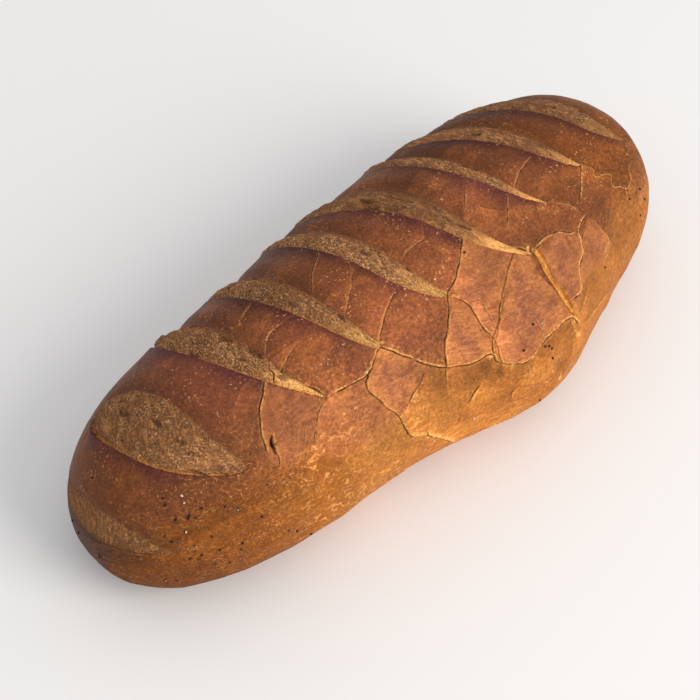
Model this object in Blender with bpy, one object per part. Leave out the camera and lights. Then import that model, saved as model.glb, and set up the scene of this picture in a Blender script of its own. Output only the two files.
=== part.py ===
"""A long white loaf as one solid: a tapered body with a bulging front, nine slashes, torn crust and seeds.

Lengths are in millimetres, and main() scales the finished mesh to metres at the end. A place on the crust is
written as (along, around): along runs over the crest from the middle of the loaf, - to the near end and + to
the far end, and bends down over both ends with the crust; around is the angle in degrees from the crest, + to
the back (+Y) and - to the front (-Y).
"""

import math

import bmesh
import bpy
import numpy as np
from mathutils import Matrix, Vector

MM = 0.001

# Driving dimensions of the body
CREST_HEIGHT = 92.0
WIDEST_HEIGHT = 37.0  # the height at which the loaf is widest
FRONT_WIDTH = 61.4  # from the centre line to the front
BACK_WIDTH = 68.5  # from the centre line to the back
END_ROUND_RADIUS = 65.0  # the section radius that turns the end's curve into a length along the crust
UNDERSIDE_OVERSHOOT = 1.12  # how far the round underside would pass the table before the base is cut flat
CROWN_POWER = 2.0  # 2 is an ellipse
UNDERSIDE_POWER = 2.6  # above 2 the underside is squarer than the crown
CENTRE_LINE_BEND = -3.0
CENTRE_LINE_LENGTH = 170.0

# The two ends: length from the middle, fullness along it, fullness of the plan, and how far the widest line
# drops
NEAR_END = {"length": 174.2, "power": 3.0, "plan": 2.3, "drop": 7.9}
FAR_END = {"length": 171.0, "power": 3.75, "plan": 2.7, "drop": 2.2}
END_CROWN_PLAN = 1.15  # the crown keeps its height a little longer than the plan keeps its width

# Swellings and waists of the sides: (side, centre along, spread along, height), - is the front
SWELLS = ((-1, 38.0, 50.0, 19.7), (-1, -9.0, 95.0, -3.4), (1, -64.0, 58.0, -6.8))

# Each slash from the near end to the far one. centre: where it crosses the crest. skew, bow and hook: how it
# slants, curves, and turns to the far end near its front tip. width: at its widest. blunt: low for blunt
# ends, high for pointed ones. lean: which end is wider. tip and back: the angles of its front and back ends.
# deep: share of the usual depth. The first row only places its rings, since END_SLASH gives that slash.
SLASH_KEYS = ("centre", "skew", "bow", "hook", "width", "blunt", "lean", "tip", "back", "deep")
SLASH_VALUES = (
    (-187, -4, 5, 32, 24, 0.33, 0.05, -70, 60, 0.3),
    (-134, 6, 2, 44, 31, 0.48, 0.15, -42, 54, 0.9),
    (-84, 13, 13, 26, 20, 0.79, 0.34, -37, 84, 1.0),
    (-45, 13, 7, 17, 18, 0.32, 0.35, -33, 84, 1.0),
    (-5, 11, -4, 63, 16, 0.38, -0.04, -29, 84, 1.0),
    (34, 15, -21, 90, 22, 0.30, 0.62, -34, 84, 1.0),
    (68, 19, 4, 56, 12, 0.48, 0.29, -25, 84, 0.9),
    (101, 21, -14, 69, 19, 0.38, 0.39, -24, 84, 0.9),
    (139, 13, -30, 108, 27, 0.30, 0.50, -31, 80, 0.7),
)
SLASHES = [dict(zip(SLASH_KEYS, values)) for values in SLASH_VALUES]
BED_DEPTH = 1.9  # of a slash's floor below the crust
BED_SWELL_CREST = 1.0  # the floor's dome at the crest
BED_SWELL_BACK = 3.4  # and low on the back, where it stands out past the crust
LIP_RISE = 0.8  # the curled near edge of a slash
LIP_REACH = 6.0
CREASE_REACH = 4.0
FULL_DEPTH_WIDTH = 5.0  # a slash wider than this has its full depth
BACK_FADE = 12.0  # degrees over which a slash dies out at its back end

# The first slash crosses the near tip, so it is laid out flat round the tip: up over the crest, and aside to
# the back. Its middle line is middle - skew * aside - bow * aside**2 above the tip. Its edges are soft.
END_SLASH = {"middle": 20.2, "skew": 0.15, "bow": 0.0043, "half": 9.6, "point": 1.9}
END_SLASH_DEPTH = 0.6
END_SLASH_EDGE = 6.0  # over which it reaches its depth
END_SLASH_REACH = {"front": 44.0, "back": 44.0}

# Tears in the crust: half width, then places along the tear
TEARS = (
    (1.0, ((-34, -33), (-27, -42), (-22, -48), (-13, -55), (-1, -60), (8, -59), (11, -64), (20, -68),
           (31, -66), (38, -63), (47, -63), (56, -68))),
    (2.0, ((54, -33), (53, -41), (53, -49), (55, -58), (57, -66))),
    (0.7, ((32, -14), (26, -18), (16, -24), (8, -28), (3, -34), (-3, -40), (-8, -47), (-12, -55))),
    (0.7, ((46, -29), (37, -34), (25, -41), (19, -47), (12, -53), (9, -58))),
    (0.8, ((8, -29), (12, -36), (11, -45), (13, -52), (12, -62))),
    (0.8, ((-36, -33), (-46, -39), (-59, -38), (-68, -37))),
    (1.1, ((-49, -43), (-47, -55), (-42, -65), (-42, -76), (-33, -83), (-24, -93), (-14, -105))),
    (0.7, ((58, -33), (65, -33), (74, -36), (84, -45), (79, -52), (73, -58), (67, -63))),
    (0.7, ((-86, -15), (-93, -22), (-100, -30), (-104, -40), (-104, -53))),
    (1.4, ((-100, -37), (-101, -41), (-102, -45))),
    (0.6, ((-32, -30), (-25, -24), (-14, -18), (-8, -15))),
    (0.6, ((112, -23), (105, -29), (96, -36))),
)
TEAR_STEP = 7.0
MM_PER_DEGREE = 1.1  # of crust, going round

# Poppy seeds: where each lies, (along, around)
SEED_SIZE = (1.35, 1.1, 1.0)
SEED_SINK = 0.15  # how far the middle of a seed lies above the crust
SEED_TURN = 0.7  # radians from one seed's long way to the next one's
SEED_PLACES = (
    (-111, -54), (-144, -34), (-145, -38), (-131, -52), (-127, -57), (-144, -49), (-119, -68), (-152, -44),
    (-151, -54), (-160, -51), (-142, -64), (-131, -78), (-132, -82), (-141, -76), (-149, -74), (-151, -77),
    (-138, -90), (-144, -86), (-167, -90), (-162, -93), (-151, -29), (-152, -33), (-147, -47), (-146, -46),
    (-158, -56), (-155, -58), (-150, -65), (-151, -69), (-154, -74), (-140, -46), (-167, 22), (-186, 74),
    (-192, 72), (-200, -60), (-199, -42), (-105, -91), (-109, -87), (-97, -104), (28, -18), (33, -55),
    (37, -57), (23, -63), (34, -67), (36, -68), (37, -70), (36, -75), (92, -69), (29, -100), (-7, -90),
    (7, -105), (9, -102), (135, -72), (144, -68), (129, -56), (142, -59),
)

# Mesh: rings across each slash bed as shares of its half width, and rings on each panel between slashes
BED_RINGS = (-1.0, -0.5, 0.2, 1.0)
LIP_BAND = 0.9
CREASE_BAND = 3.5
PANEL_RINGS = (0.33, 0.70)
CROWN_COLUMNS = 33
UNDERSIDE_COLUMNS = 7
CROWN_ANGLE = 118.0  # columns are close together above this angle
END_RINGS = (0.35, 0.68, 0.9)
LEAST_RING_SHARE = 0.3  # of a slash's half width, beyond its ends
STRAIGHTEN_OVER = 45.0  # degrees

CRUST_COLOUR = (0.23, 0.075, 0.025, 1.0)


def end_curve(end, steps=400):
    """Along, x and plan share of one end's outline, from the middle to the tip."""
    turn = np.linspace(0.0, math.pi / 2, steps)
    x = end["length"] * np.sin(turn) ** (2 / end["power"])
    plan = np.cos(turn) ** (2 / end["plan"])
    plan[-1] = 0.0
    step = np.hypot(np.diff(x), END_ROUND_RADIUS * np.diff(plan))
    return np.concatenate([[0.0], np.cumsum(step)]), x, plan


NEAR_CURVE = end_curve(NEAR_END)
FAR_CURVE = end_curve(FAR_END)
NEAR_TIP = -NEAR_CURVE[0][-1]
FAR_TIP = FAR_CURVE[0][-1]


def eased(share):
    """A share held to 0 to 1, with a soft turn at both."""
    share = np.clip(share, 0, 1)
    return share**2 * (3 - 2 * share)


def outline_at(along):
    """x, the plan share and the crown share of the section at each place along."""
    near = along < 0
    reach = np.abs(along)
    x = np.where(near, -np.interp(reach, *NEAR_CURVE[:2]), np.interp(reach, *FAR_CURVE[:2]))
    near_plan = np.interp(reach, NEAR_CURVE[0], NEAR_CURVE[2])
    plan = np.where(near, near_plan, np.interp(reach, FAR_CURVE[0], FAR_CURVE[2]))
    return x, plan, plan ** (1 / END_CROWN_PLAN)


def side_width(x, side):
    """Half width of the full section on one side, with its swells and waists."""
    width = FRONT_WIDTH if side < 0 else BACK_WIDTH
    for swell_side, centre, spread, height in SWELLS:
        if swell_side == side:
            width = width + height * np.exp(-(((x - centre) / spread) ** 2))
    return width


def smooth_skin(along, around):
    """Points of the body without slashes; around is in radians."""
    x, plan, crown = outline_at(along)
    cosine, sine = np.cos(around), np.sin(around)
    drop = np.where(x < 0, NEAR_END["drop"], FAR_END["drop"])
    middle = WIDEST_HEIGHT - drop * (np.abs(x) / CENTRE_LINE_LENGTH) ** 4
    width = np.where(sine < 0, side_width(x, -1), side_width(x, 1)) * plan
    power = np.where(cosine > 0, CROWN_POWER, UNDERSIDE_POWER)
    y = width * np.sign(sine) * np.abs(sine) ** (2 / power)
    y = y + CENTRE_LINE_BEND * (1 - (x / CENTRE_LINE_LENGTH) ** 2)
    above = (CREST_HEIGHT - middle) * crown * np.abs(cosine) ** (2 / CROWN_POWER)
    below = UNDERSIDE_OVERSHOOT * middle * crown * np.abs(cosine) ** (2 / UNDERSIDE_POWER)
    return np.stack([x, y, np.where(cosine > 0, middle + above, middle - below)], axis=-1)


def skin_normal(along, around):
    """Outward direction of the smooth skin."""
    step_along, step_around = 0.5, 0.01
    inner = np.clip(along, NEAR_TIP + 1.5, FAR_TIP - 1.5)
    ahead = smooth_skin(inner + step_along, around) - smooth_skin(inner - step_along, around)
    aside = smooth_skin(inner, around + step_around) - smooth_skin(inner, around - step_around)
    normal = np.cross(ahead, aside)
    return normal / np.linalg.norm(normal, axis=-1, keepdims=True)


def slash_lens(slash, around):
    """Middle line and half width of a slash at each angle."""
    sine, cosine = np.sin(around), np.cos(around)
    front = np.maximum(-sine, 0.0)
    middle = slash["centre"] - slash["skew"] * sine + slash["bow"] * (1 - cosine) + slash["hook"] * front**3
    half_reach = (slash["back"] - slash["tip"]) / 2
    share = np.clip((np.degrees(around) - (slash["back"] + slash["tip"]) / 2) / half_reach, -1, 1)
    lens = (1 - share**2) ** slash["blunt"] * (1 + slash["lean"] * share)
    return middle, slash["width"] / 2 * lens


def end_slash_relief(along, around):
    """Height that the first slash gives the crust: a shallow hollow."""
    reach = along - NEAR_TIP
    up, aside = reach * np.cos(around), reach * np.sin(around)
    middle = END_SLASH["middle"] - END_SLASH["skew"] * aside - END_SLASH["bow"] * aside**2
    share = np.abs(aside) / np.where(aside < 0, END_SLASH_REACH["front"], END_SLASH_REACH["back"])
    half = END_SLASH["half"] * np.maximum(1 - share ** END_SLASH["point"], 0)
    inside = half - np.abs(up - middle)
    return -END_SLASH_DEPTH * eased((inside + 1) / END_SLASH_EDGE)


def slash_relief(slash, along, around):
    """Height that one slash gives the crust: a curled lip, a domed floor below it and a soft crease."""
    middle, half = slash_lens(slash, around)
    offset = along - middle
    full = slash["deep"] * np.minimum(half / (FULL_DEPTH_WIDTH / 2), 1.0)
    full = full * eased((slash["back"] - np.degrees(around)) / BACK_FADE)
    share = offset / np.maximum(half, 0.1)
    swell = BED_SWELL_CREST + (BED_SWELL_BACK - BED_SWELL_CREST) * eased((np.degrees(around) - 20) / 45)
    floor = swell * np.clip(1 - share**2, 0, 1) * (1 - 0.35 * share) - BED_DEPTH
    lip = LIP_RISE * np.exp(-(np.abs(offset + half) / LIP_REACH))
    crease = -BED_DEPTH * np.exp(-(((offset - half) / CREASE_REACH) ** 2))
    return full * np.where(share < -1, lip, np.where(share > 1, crease, floor))


def crust(along, around):
    """Points of the finished crust; around is in radians."""
    height = end_slash_relief(along, around)
    height = height + sum(slash_relief(slash, along, around) for slash in SLASHES[1:])
    return smooth_skin(along, around) + height[..., None] * skin_normal(along, around)


def straightening(slash, around):
    """0 beside a slash, rising to 1 below both its ends, where rings run straight round the underside."""
    degrees = np.degrees(around)
    return eased(np.maximum(degrees - slash["back"], slash["tip"] - degrees) / STRAIGHTEN_OVER)


def ring_lines(around):
    """The along of every ring at each angle, so that rings lie on the edges of every slash."""
    lines = []
    around = (around + math.pi) % (2 * math.pi) - math.pi
    last = np.full_like(around, NEAR_TIP)
    for number, slash in enumerate(SLASHES):
        middle, half = slash_lens(slash, around)
        middle = middle + (slash["centre"] - middle) * straightening(slash, around)
        half = np.maximum(half, LEAST_RING_SHARE * slash["width"] / 2)
        lip = middle - half
        for share in END_RINGS[:2] if number == 0 else PANEL_RINGS:
            lines.append(last + (lip - LIP_BAND - last) * share)
        lines.append(lip - LIP_BAND)
        lines.extend(middle + half * share for share in BED_RINGS)
        last = middle + half + CREASE_BAND
        lines.append(last)
    lines.extend(last + (FAR_TIP - last) * share for share in END_RINGS)
    return lines


def column_angles():
    """Angles of the mesh's columns, close together on the crown and wide apart underneath."""
    crown = np.linspace(-CROWN_ANGLE, CROWN_ANGLE, CROWN_COLUMNS)
    underside = np.linspace(CROWN_ANGLE, 360 - CROWN_ANGLE, UNDERSIDE_COLUMNS + 2)[1:-1]
    return np.radians(np.concatenate([crown, underside]))


def skin_mesh():
    """The closed skin as a bmesh of rings with a pole at each end, cut flat at the base."""
    around = column_angles()
    skin = bmesh.new()
    near_pole = skin.verts.new(crust(np.array([NEAR_TIP]), np.array([0.0]))[0])
    rings = [[skin.verts.new(point) for point in crust(line, around)] for line in ring_lines(around)]
    far_pole = skin.verts.new(crust(np.array([FAR_TIP]), np.array([0.0]))[0])
    count = len(around)
    for column in range(count):
        after = (column + 1) % count
        skin.faces.new((near_pole, rings[0][column], rings[0][after]))
        skin.faces.new((far_pole, rings[-1][after], rings[-1][column]))
        for ring, following in zip(rings, rings[1:]):
            skin.faces.new((ring[column], following[column], following[after], ring[after]))
    bmesh.ops.recalc_face_normals(skin, faces=skin.faces)
    everything = skin.verts[:] + skin.edges[:] + skin.faces[:]
    table = {"plane_co": (0, 0, 0), "plane_no": (0, 0, -1)}
    cut = bmesh.ops.bisect_plane(skin, geom=everything, clear_outer=True, **table)
    rim = [item for item in cut["geom_cut"] if isinstance(item, bmesh.types.BMEdge)]
    bmesh.ops.contextual_create(skin, geom=rim)
    bmesh.ops.recalc_face_normals(skin, faces=skin.faces)
    return skin


def object_of(mesh_or_bmesh, name, collection):
    """A linked object, from a bmesh in millimetres."""
    mesh = bpy.data.meshes.new(name)
    mesh_or_bmesh.to_mesh(mesh)
    mesh_or_bmesh.free()
    thing = bpy.data.objects.new(name, mesh)
    collection.objects.link(thing)
    return thing


def tear_route(places):
    """Points close together along a tear, on the crust."""
    turns = np.array(places, dtype=float)
    steps = np.hypot(np.diff(turns[:, 0]), MM_PER_DEGREE * np.diff(turns[:, 1]))
    length = np.concatenate([[0.0], np.cumsum(steps)])
    stops = np.linspace(0.0, length[-1], max(3, round(length[-1] / TEAR_STEP) + 1))
    along = np.interp(stops, length, turns[:, 0])
    around = np.radians(np.interp(stops, length, turns[:, 1]))
    return crust(along, around), skin_normal(along, around)


def tear_cutter(number, half_width, places, collection):
    """A blade that follows a tear: three corners at each stop, and a point at both ends."""
    points, normals = tear_route(places)
    blade = bmesh.new()
    sections = []
    for index in range(1, len(points) - 1):
        point, normal = Vector(points[index]), Vector(normals[index])
        course = Vector(points[index + 1]) - Vector(points[index - 1])
        aside = course.cross(normal).normalized() * half_width
        corners = (point + normal + aside * 2, point + normal - aside * 2, point - normal * half_width)
        sections.append([blade.verts.new(corner) for corner in corners])
    ends = [blade.verts.new(Vector(points[side]) + Vector(normals[side]) * 0.4) for side in (0, -1)]
    for side in range(3):
        after = (side + 1) % 3
        blade.faces.new((ends[0], sections[0][side], sections[0][after]))
        blade.faces.new((ends[1], sections[-1][after], sections[-1][side]))
        for section, following in zip(sections, sections[1:]):
            blade.faces.new((section[side], following[side], following[after], section[after]))
    bmesh.ops.recalc_face_normals(blade, faces=blade.faces)
    return object_of(blade, f"tear_{number}", collection)


def seed_bmesh(place, turn, body):
    """One seed, lying on the body with its long way turned by the given angle."""
    along, around = np.array([float(place[0])]), np.radians([float(place[1])])
    _, touch, normal, _ = body.closest_point_on_mesh(Vector(crust(along, around)[0]))
    centre = touch + normal * SEED_SINK
    lie = normal.to_track_quat("Z", "X").to_matrix().to_4x4() @ Matrix.Rotation(turn, 4, "Z")
    size = Matrix.Diagonal([width / 2 for width in SEED_SIZE] + [1.0])
    seed = bmesh.new()
    seat = Matrix.Translation(centre) @ lie @ size
    bmesh.ops.create_icosphere(seed, subdivisions=1, radius=1.0, matrix=seat)
    return seed


def apply_boolean(body, operation, collection):
    """One Boolean with every object of a collection, applied, and those objects removed."""
    step = body.modifiers.new(operation.lower(), "BOOLEAN")
    step.operation = operation
    step.solver = "MANIFOLD"
    step.operand_type = "COLLECTION"
    step.collection = collection
    graph = bpy.context.evaluated_depsgraph_get()
    mesh = bpy.data.meshes.new_from_object(body.evaluated_get(graph))
    body.modifiers.clear()
    body.data = mesh
    for operand in list(collection.objects):
        bpy.data.objects.remove(operand, do_unlink=True)
    bpy.data.collections.remove(collection)


def stand_on_base(mesh):
    """Moves the mesh so that the middle of its base is the origin."""
    points = np.array([vertex.co for vertex in mesh.vertices])
    low, high = points.min(axis=0), points.max(axis=0)
    middle = (low + high) / 2
    mesh.transform(Matrix.Translation((-middle[0], -middle[1], -low[2])))


def crust_material():
    material = bpy.data.materials.new("baked_crust")
    material.use_nodes = True
    shader = material.node_tree.nodes["Principled BSDF"]
    shader.inputs["Base Color"].default_value = CRUST_COLOUR
    shader.inputs["Roughness"].default_value = 0.45
    shader.inputs["Metallic"].default_value = 0.0
    return material


def main():
    for thing in list(bpy.data.objects):
        bpy.data.objects.remove(thing, do_unlink=True)
    scene = bpy.context.scene.collection
    loaf = object_of(skin_mesh(), "loaf", scene)

    blades = bpy.data.collections.new("blades")
    scene.children.link(blades)
    for number, (half_width, places) in enumerate(TEARS):
        tear_cutter(number, half_width, places, blades)
    apply_boolean(loaf, "DIFFERENCE", blades)

    seeds = bpy.data.collections.new("seeds")
    scene.children.link(seeds)
    for number, place in enumerate(SEED_PLACES):
        object_of(seed_bmesh(place, SEED_TURN * number, loaf), f"seed_{number}", seeds)
    apply_boolean(loaf, "UNION", seeds)

    stand_on_base(loaf.data)
    loaf.data.transform(Matrix.Scale(MM, 4))
    loaf.data.materials.clear()
    loaf.data.materials.append(crust_material())
    loaf.data.shade_smooth()
    loaf.data.set_sharp_from_angle(angle=math.radians(40))


main()
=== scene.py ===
# %% [markdown]
# # A long white loaf
# The object is one loaf of white bread, about 345 mm long: a smooth brown crust, nine slanting slashes with
# rough tan floors, a front side that has torn open into plates, and poppy seeds that strayed onto it. The
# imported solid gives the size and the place. This lesson dresses it with a fine skin and seeds, colours it
# layer by layer, and lights it softly.

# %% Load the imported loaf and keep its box
import math

import bmesh
import bpy
import numpy as np
from mathutils import Matrix, Vector, noise


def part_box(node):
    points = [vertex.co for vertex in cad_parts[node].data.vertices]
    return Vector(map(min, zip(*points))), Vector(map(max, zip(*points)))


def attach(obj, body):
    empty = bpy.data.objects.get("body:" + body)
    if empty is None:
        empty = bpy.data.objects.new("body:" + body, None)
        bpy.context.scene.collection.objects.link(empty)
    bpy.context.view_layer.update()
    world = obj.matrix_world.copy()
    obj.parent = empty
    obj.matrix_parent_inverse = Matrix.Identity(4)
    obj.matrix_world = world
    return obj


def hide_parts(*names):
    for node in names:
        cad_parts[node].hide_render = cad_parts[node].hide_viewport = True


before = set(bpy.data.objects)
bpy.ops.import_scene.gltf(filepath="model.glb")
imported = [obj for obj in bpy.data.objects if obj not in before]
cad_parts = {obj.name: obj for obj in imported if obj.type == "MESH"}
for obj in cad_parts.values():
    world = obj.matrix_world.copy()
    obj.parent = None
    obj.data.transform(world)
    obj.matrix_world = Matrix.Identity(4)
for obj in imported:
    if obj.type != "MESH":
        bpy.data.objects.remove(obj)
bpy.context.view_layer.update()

# %% [markdown]
# Bread is measured best along its own crust. A place is written as (along, around): along is the length in
# millimetres over the crest from the middle of the loaf, and it bends down over both ends; around is the
# angle from the crest, positive to the back and negative to the front. One curve for each end turns that
# length into a section.

# %% Driving sizes of the body, in millimetres
MM = 0.001
CREST_HEIGHT = 92.0
WIDEST_HEIGHT = 37.0
FRONT_WIDTH = 61.0
BACK_WIDTH = 68.0
SECTION_RADIUS = 65.0  # turns a share of the section into a length over the ends
UNDERSIDE_OVERSHOOT = 1.12  # the section reaches below the floor by this factor before it is laid flat
CROWN_POWER = 2.0
UNDERSIDE_POWER = 2.6
CENTRE_LINE_BEND = -3.0  # the middle of the loaf bends to the front
CENTRE_LINE_LENGTH = 170.0
NEAR_END = {"length": 174.0, "power": 3.0, "plan": 2.3, "drop": 7.9}
FAR_END = {"length": 171.0, "power": 3.75, "plan": 2.7, "drop": 2.2}
END_CROWN_PLAN = 1.15  # above 1, so the crown stays high a little longer than the sides stay wide
SWELLS = ((-1, 38.0, 50.0, 19.7), (-1, -9.0, 95.0, -3.4), (1, -64.0, 58.0, -6.8))  # side, x, spread, height


def end_curve(end, steps=400):
    """Length along the crust, x and plan share of one end's outline, from the middle to the tip."""
    turn = np.linspace(0.0, math.pi / 2, steps)
    x = end["length"] * np.sin(turn) ** (2 / end["power"])
    plan = np.cos(turn) ** (2 / end["plan"])
    plan[-1] = 0.0
    step = np.hypot(np.diff(x), SECTION_RADIUS * np.diff(plan))
    return np.concatenate([[0.0], np.cumsum(step)]), x, plan


NEAR_CURVE = end_curve(NEAR_END)
FAR_CURVE = end_curve(FAR_END)
NEAR_TIP = -NEAR_CURVE[0][-1]
FAR_TIP = FAR_CURVE[0][-1]
print(f"the crust runs {NEAR_TIP:.0f} to {FAR_TIP:.0f} mm along")


# %% The smooth body and its outward direction
def outline_at(along):
    """x and the plan share of the section at each place along."""
    near = along < 0
    reach = np.abs(along)
    x = np.where(near, -np.interp(reach, *NEAR_CURVE[:2]), np.interp(reach, *FAR_CURVE[:2]))
    near_plan = np.interp(reach, NEAR_CURVE[0], NEAR_CURVE[2])
    return x, np.where(near, near_plan, np.interp(reach, FAR_CURVE[0], FAR_CURVE[2]))


def side_width(x, side):
    """Half width of the full section on one side, with its swells and waists."""
    width = FRONT_WIDTH if side < 0 else BACK_WIDTH
    for swell_side, centre, spread, height in SWELLS:
        if swell_side == side:
            width = width + height * np.exp(-(((x - centre) / spread) ** 2))
    return width


def smooth_skin(along, around):
    """Points of the body without slashes; around is in radians."""
    x, plan = outline_at(along)
    crown = plan ** (1 / END_CROWN_PLAN)
    cosine, sine = np.cos(around), np.sin(around)
    drop = np.where(x < 0, NEAR_END["drop"], FAR_END["drop"])
    middle = WIDEST_HEIGHT - drop * (np.abs(x) / CENTRE_LINE_LENGTH) ** 4
    width = np.where(sine < 0, side_width(x, -1), side_width(x, 1)) * plan
    power = np.where(cosine > 0, CROWN_POWER, UNDERSIDE_POWER)
    y = width * np.sign(sine) * np.abs(sine) ** (2 / power)
    y = y + CENTRE_LINE_BEND * (1 - (x / CENTRE_LINE_LENGTH) ** 2)
    above = (CREST_HEIGHT - middle) * crown * np.abs(cosine) ** (2 / CROWN_POWER)
    below = UNDERSIDE_OVERSHOOT * middle * crown * np.abs(cosine) ** (2 / UNDERSIDE_POWER)
    return np.stack([x, y, np.where(cosine > 0, middle + above, middle - below)], axis=-1)


def skin_normal(along, around):
    """Outward direction of the smooth body."""
    step_along, step_around, tip_margin = 0.5, 0.01, 1.5
    inner = np.clip(along, NEAR_TIP + tip_margin, FAR_TIP - tip_margin)
    ahead = smooth_skin(inner + step_along, around) - smooth_skin(inner - step_along, around)
    aside = smooth_skin(inner, around + step_around) - smooth_skin(inner, around - step_around)
    normal = np.cross(ahead, aside)
    return normal / np.linalg.norm(normal, axis=-1, keepdims=True)


def smoothstep(low, high, value):
    """A soft step from 0 at low to 1 at high; low may be the greater of the two."""
    share = np.clip((value - low) / (high - low), 0.0, 1.0)
    return share * share * (3 - 2 * share)


print(f"widths in the middle: {side_width(0.0, -1):.0f} mm in front, {side_width(0.0, 1):.0f} mm behind")

# %% [markdown]
# The body's own middle isn't the middle of its box, because the front bulges. The solid stands with the
# middle of its base at the origin, so everything here is moved by the same small step, found from the two
# boxes.

# %% Find the step from the body's own frame to the solid's
probe_angles = np.radians(np.arange(-180, 180, 2))
probe_along, probe_around = np.meshgrid(np.linspace(NEAR_TIP, FAR_TIP, 400), probe_angles)
probe = smooth_skin(probe_along, probe_around).reshape(-1, 3)
cad_low, cad_high = (np.array(corner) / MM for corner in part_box("loaf"))
STEP = (cad_low + cad_high) / 2 - (probe.min(axis=0) + probe.max(axis=0)) / 2
STEP[2] = 0.0
print("step to the solid, mm:", STEP.round(2))

# %% [markdown]
# The photograph looks down on the loaf from over its near end, from about 0.8 m away. The camera comes
# first, since every later choice of detail depends on what it sees.

# %% Camera
CAMERA_AZIMUTH = math.radians(-44.53)
CAMERA_ELEVATION = math.radians(52.0)
CAMERA_DISTANCE = 800.0
CAMERA_AIM = (-12.95, -13.16, 40.0)  # to the right, upwards in the picture, and the height aimed at
FOCAL_PIXELS = 1685.0
PICTURE_PIXELS = 700
SENSOR = 36.0

back = Vector((math.sin(CAMERA_AZIMUTH) * math.cos(CAMERA_ELEVATION),
               -math.cos(CAMERA_AZIMUTH) * math.cos(CAMERA_ELEVATION),
               math.sin(CAMERA_ELEVATION)))
right = Vector((math.cos(CAMERA_AZIMUTH), math.sin(CAMERA_AZIMUTH), 0.0))
up = back.cross(right)
aim = Vector(STEP) + Vector((0, 0, CAMERA_AIM[2])) + right * CAMERA_AIM[0] + up * CAMERA_AIM[1]
camera_data = bpy.data.cameras.new("camera")
camera_data.sensor_width = SENSOR
camera_data.lens = FOCAL_PIXELS / PICTURE_PIXELS * SENSOR
camera_data.clip_start = 0.01
camera = bpy.data.objects.new("camera", camera_data)
bpy.context.scene.collection.objects.link(camera)
placing = Matrix((right, up, back)).transposed().to_4x4()
placing.translation = (aim + back * CAMERA_DISTANCE) * MM
camera.matrix_world = placing
bpy.context.scene.camera = camera
print(f"lens {camera_data.lens:.1f} mm")

# %% [markdown]
# Each slash is a lens shape across the crown. Cutting nine grooves with solid tools would leave the same
# plain edge everywhere, so a slash is a height that is added to the skin instead. Ten plain numbers
# describe a slash: where it crosses the crest, how it slants and curves, how wide it opens and where it
# ends. Lengths are in millimetres, and tip and back are the degrees from the crest at which it ends.

# %% The nine slashes
SLASH_KEYS = ("centre", "skew", "bow", "hook", "width", "blunt", "lean", "tip", "back", "deep")
SLASH_VALUES = (
    (-187, -4, 5, 32, 24, 0.33, 0.05, -70, 60, 0.3),
    (-134, 6, 2, 44, 31, 0.48, 0.15, -42, 54, 0.9),
    (-84, 13, 13, 26, 20, 0.79, 0.34, -37, 84, 1.0),
    (-45, 13, 7, 17, 18, 0.32, 0.35, -33, 84, 1.0),
    (-5, 11, -4, 63, 16, 0.38, -0.04, -29, 84, 1.0),
    (34, 15, -21, 90, 22, 0.30, 0.62, -34, 84, 1.0),
    (68, 19, 4, 56, 12, 0.48, 0.29, -25, 84, 0.9),
    (101, 21, -14, 69, 19, 0.38, 0.39, -24, 84, 0.9),
    (139, 13, -30, 108, 27, 0.30, 0.50, -31, 80, 0.7),
)
SLASHES = [dict(zip(SLASH_KEYS, values)) for values in SLASH_VALUES]


def slash_lens(slash, around):
    """Middle line and half width of a slash at each angle."""
    sine, cosine = np.sin(around), np.cos(around)
    front = np.maximum(-sine, 0.0)
    middle = slash["centre"] - slash["skew"] * sine + slash["bow"] * (1 - cosine) + slash["hook"] * front**3
    half_reach = (slash["back"] - slash["tip"]) / 2
    share = np.clip((np.degrees(around) - (slash["back"] + slash["tip"]) / 2) / half_reach, -1, 1)
    lens = (1 - share**2) ** slash["blunt"] * (1 + slash["lean"] * share)
    return middle, slash["width"] / 2 * lens


slash_spacing = (SLASHES[-1]["centre"] - SLASHES[0]["centre"]) / (len(SLASHES) - 1)
print(len(SLASHES), "slashes, one every", round(slash_spacing), "mm")

# %% [markdown]
# The first slash crosses the near tip, where angles from the crest bunch up, so it is laid out flat round
# the tip: up over the crest, and aside to the back. Its middle line is middle - skew * aside - bow *
# aside**2 above the tip. Its own row above only guides the rings and the tones of the crust around it.

# %% The first slash, laid flat round the near tip
END_SLASH = {"middle": 20.2, "skew": 0.15, "bow": 0.0043, "half": 9.6, "point": 1.9}
END_SLASH_REACH = 44.0
END_SLASH_DEPTH = 0.6
END_SLASH_EDGE = 6.0  # over which it reaches its depth
LEAST_HALF = 0.1  # keeps shares across a slash finite where it closes


def end_slash_profile(along, around):
    """The same five values as slash_profile() gives, for the first slash, which has soft edges and no lip."""
    reach = along - NEAR_TIP
    up, aside = reach * np.cos(around), reach * np.sin(around)
    middle = END_SLASH["middle"] - END_SLASH["skew"] * aside - END_SLASH["bow"] * aside**2
    half = END_SLASH["half"] * np.maximum(1 - (np.abs(aside) / END_SLASH_REACH) ** END_SLASH["point"], 0)
    offset = up - middle
    inside = half - np.abs(offset)
    rise = -END_SLASH_DEPTH * smoothstep(-1, END_SLASH_EDGE - 1, inside)
    return rise, inside, offset / np.maximum(half, LEAST_HALF), offset, half


print("the first slash is", 2 * END_SLASH_REACH, "mm long and", 2 * END_SLASH["half"], "mm wide")

# %% [markdown]
# The baker's blade goes in at a slant, so the near edge of a slash lifts into a curled lip, the far edge
# stays a soft crease, and the floor between them swells as the dough opens. Towards the back the slashes
# opened most, so there the floor swells past the crust around it.

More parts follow.
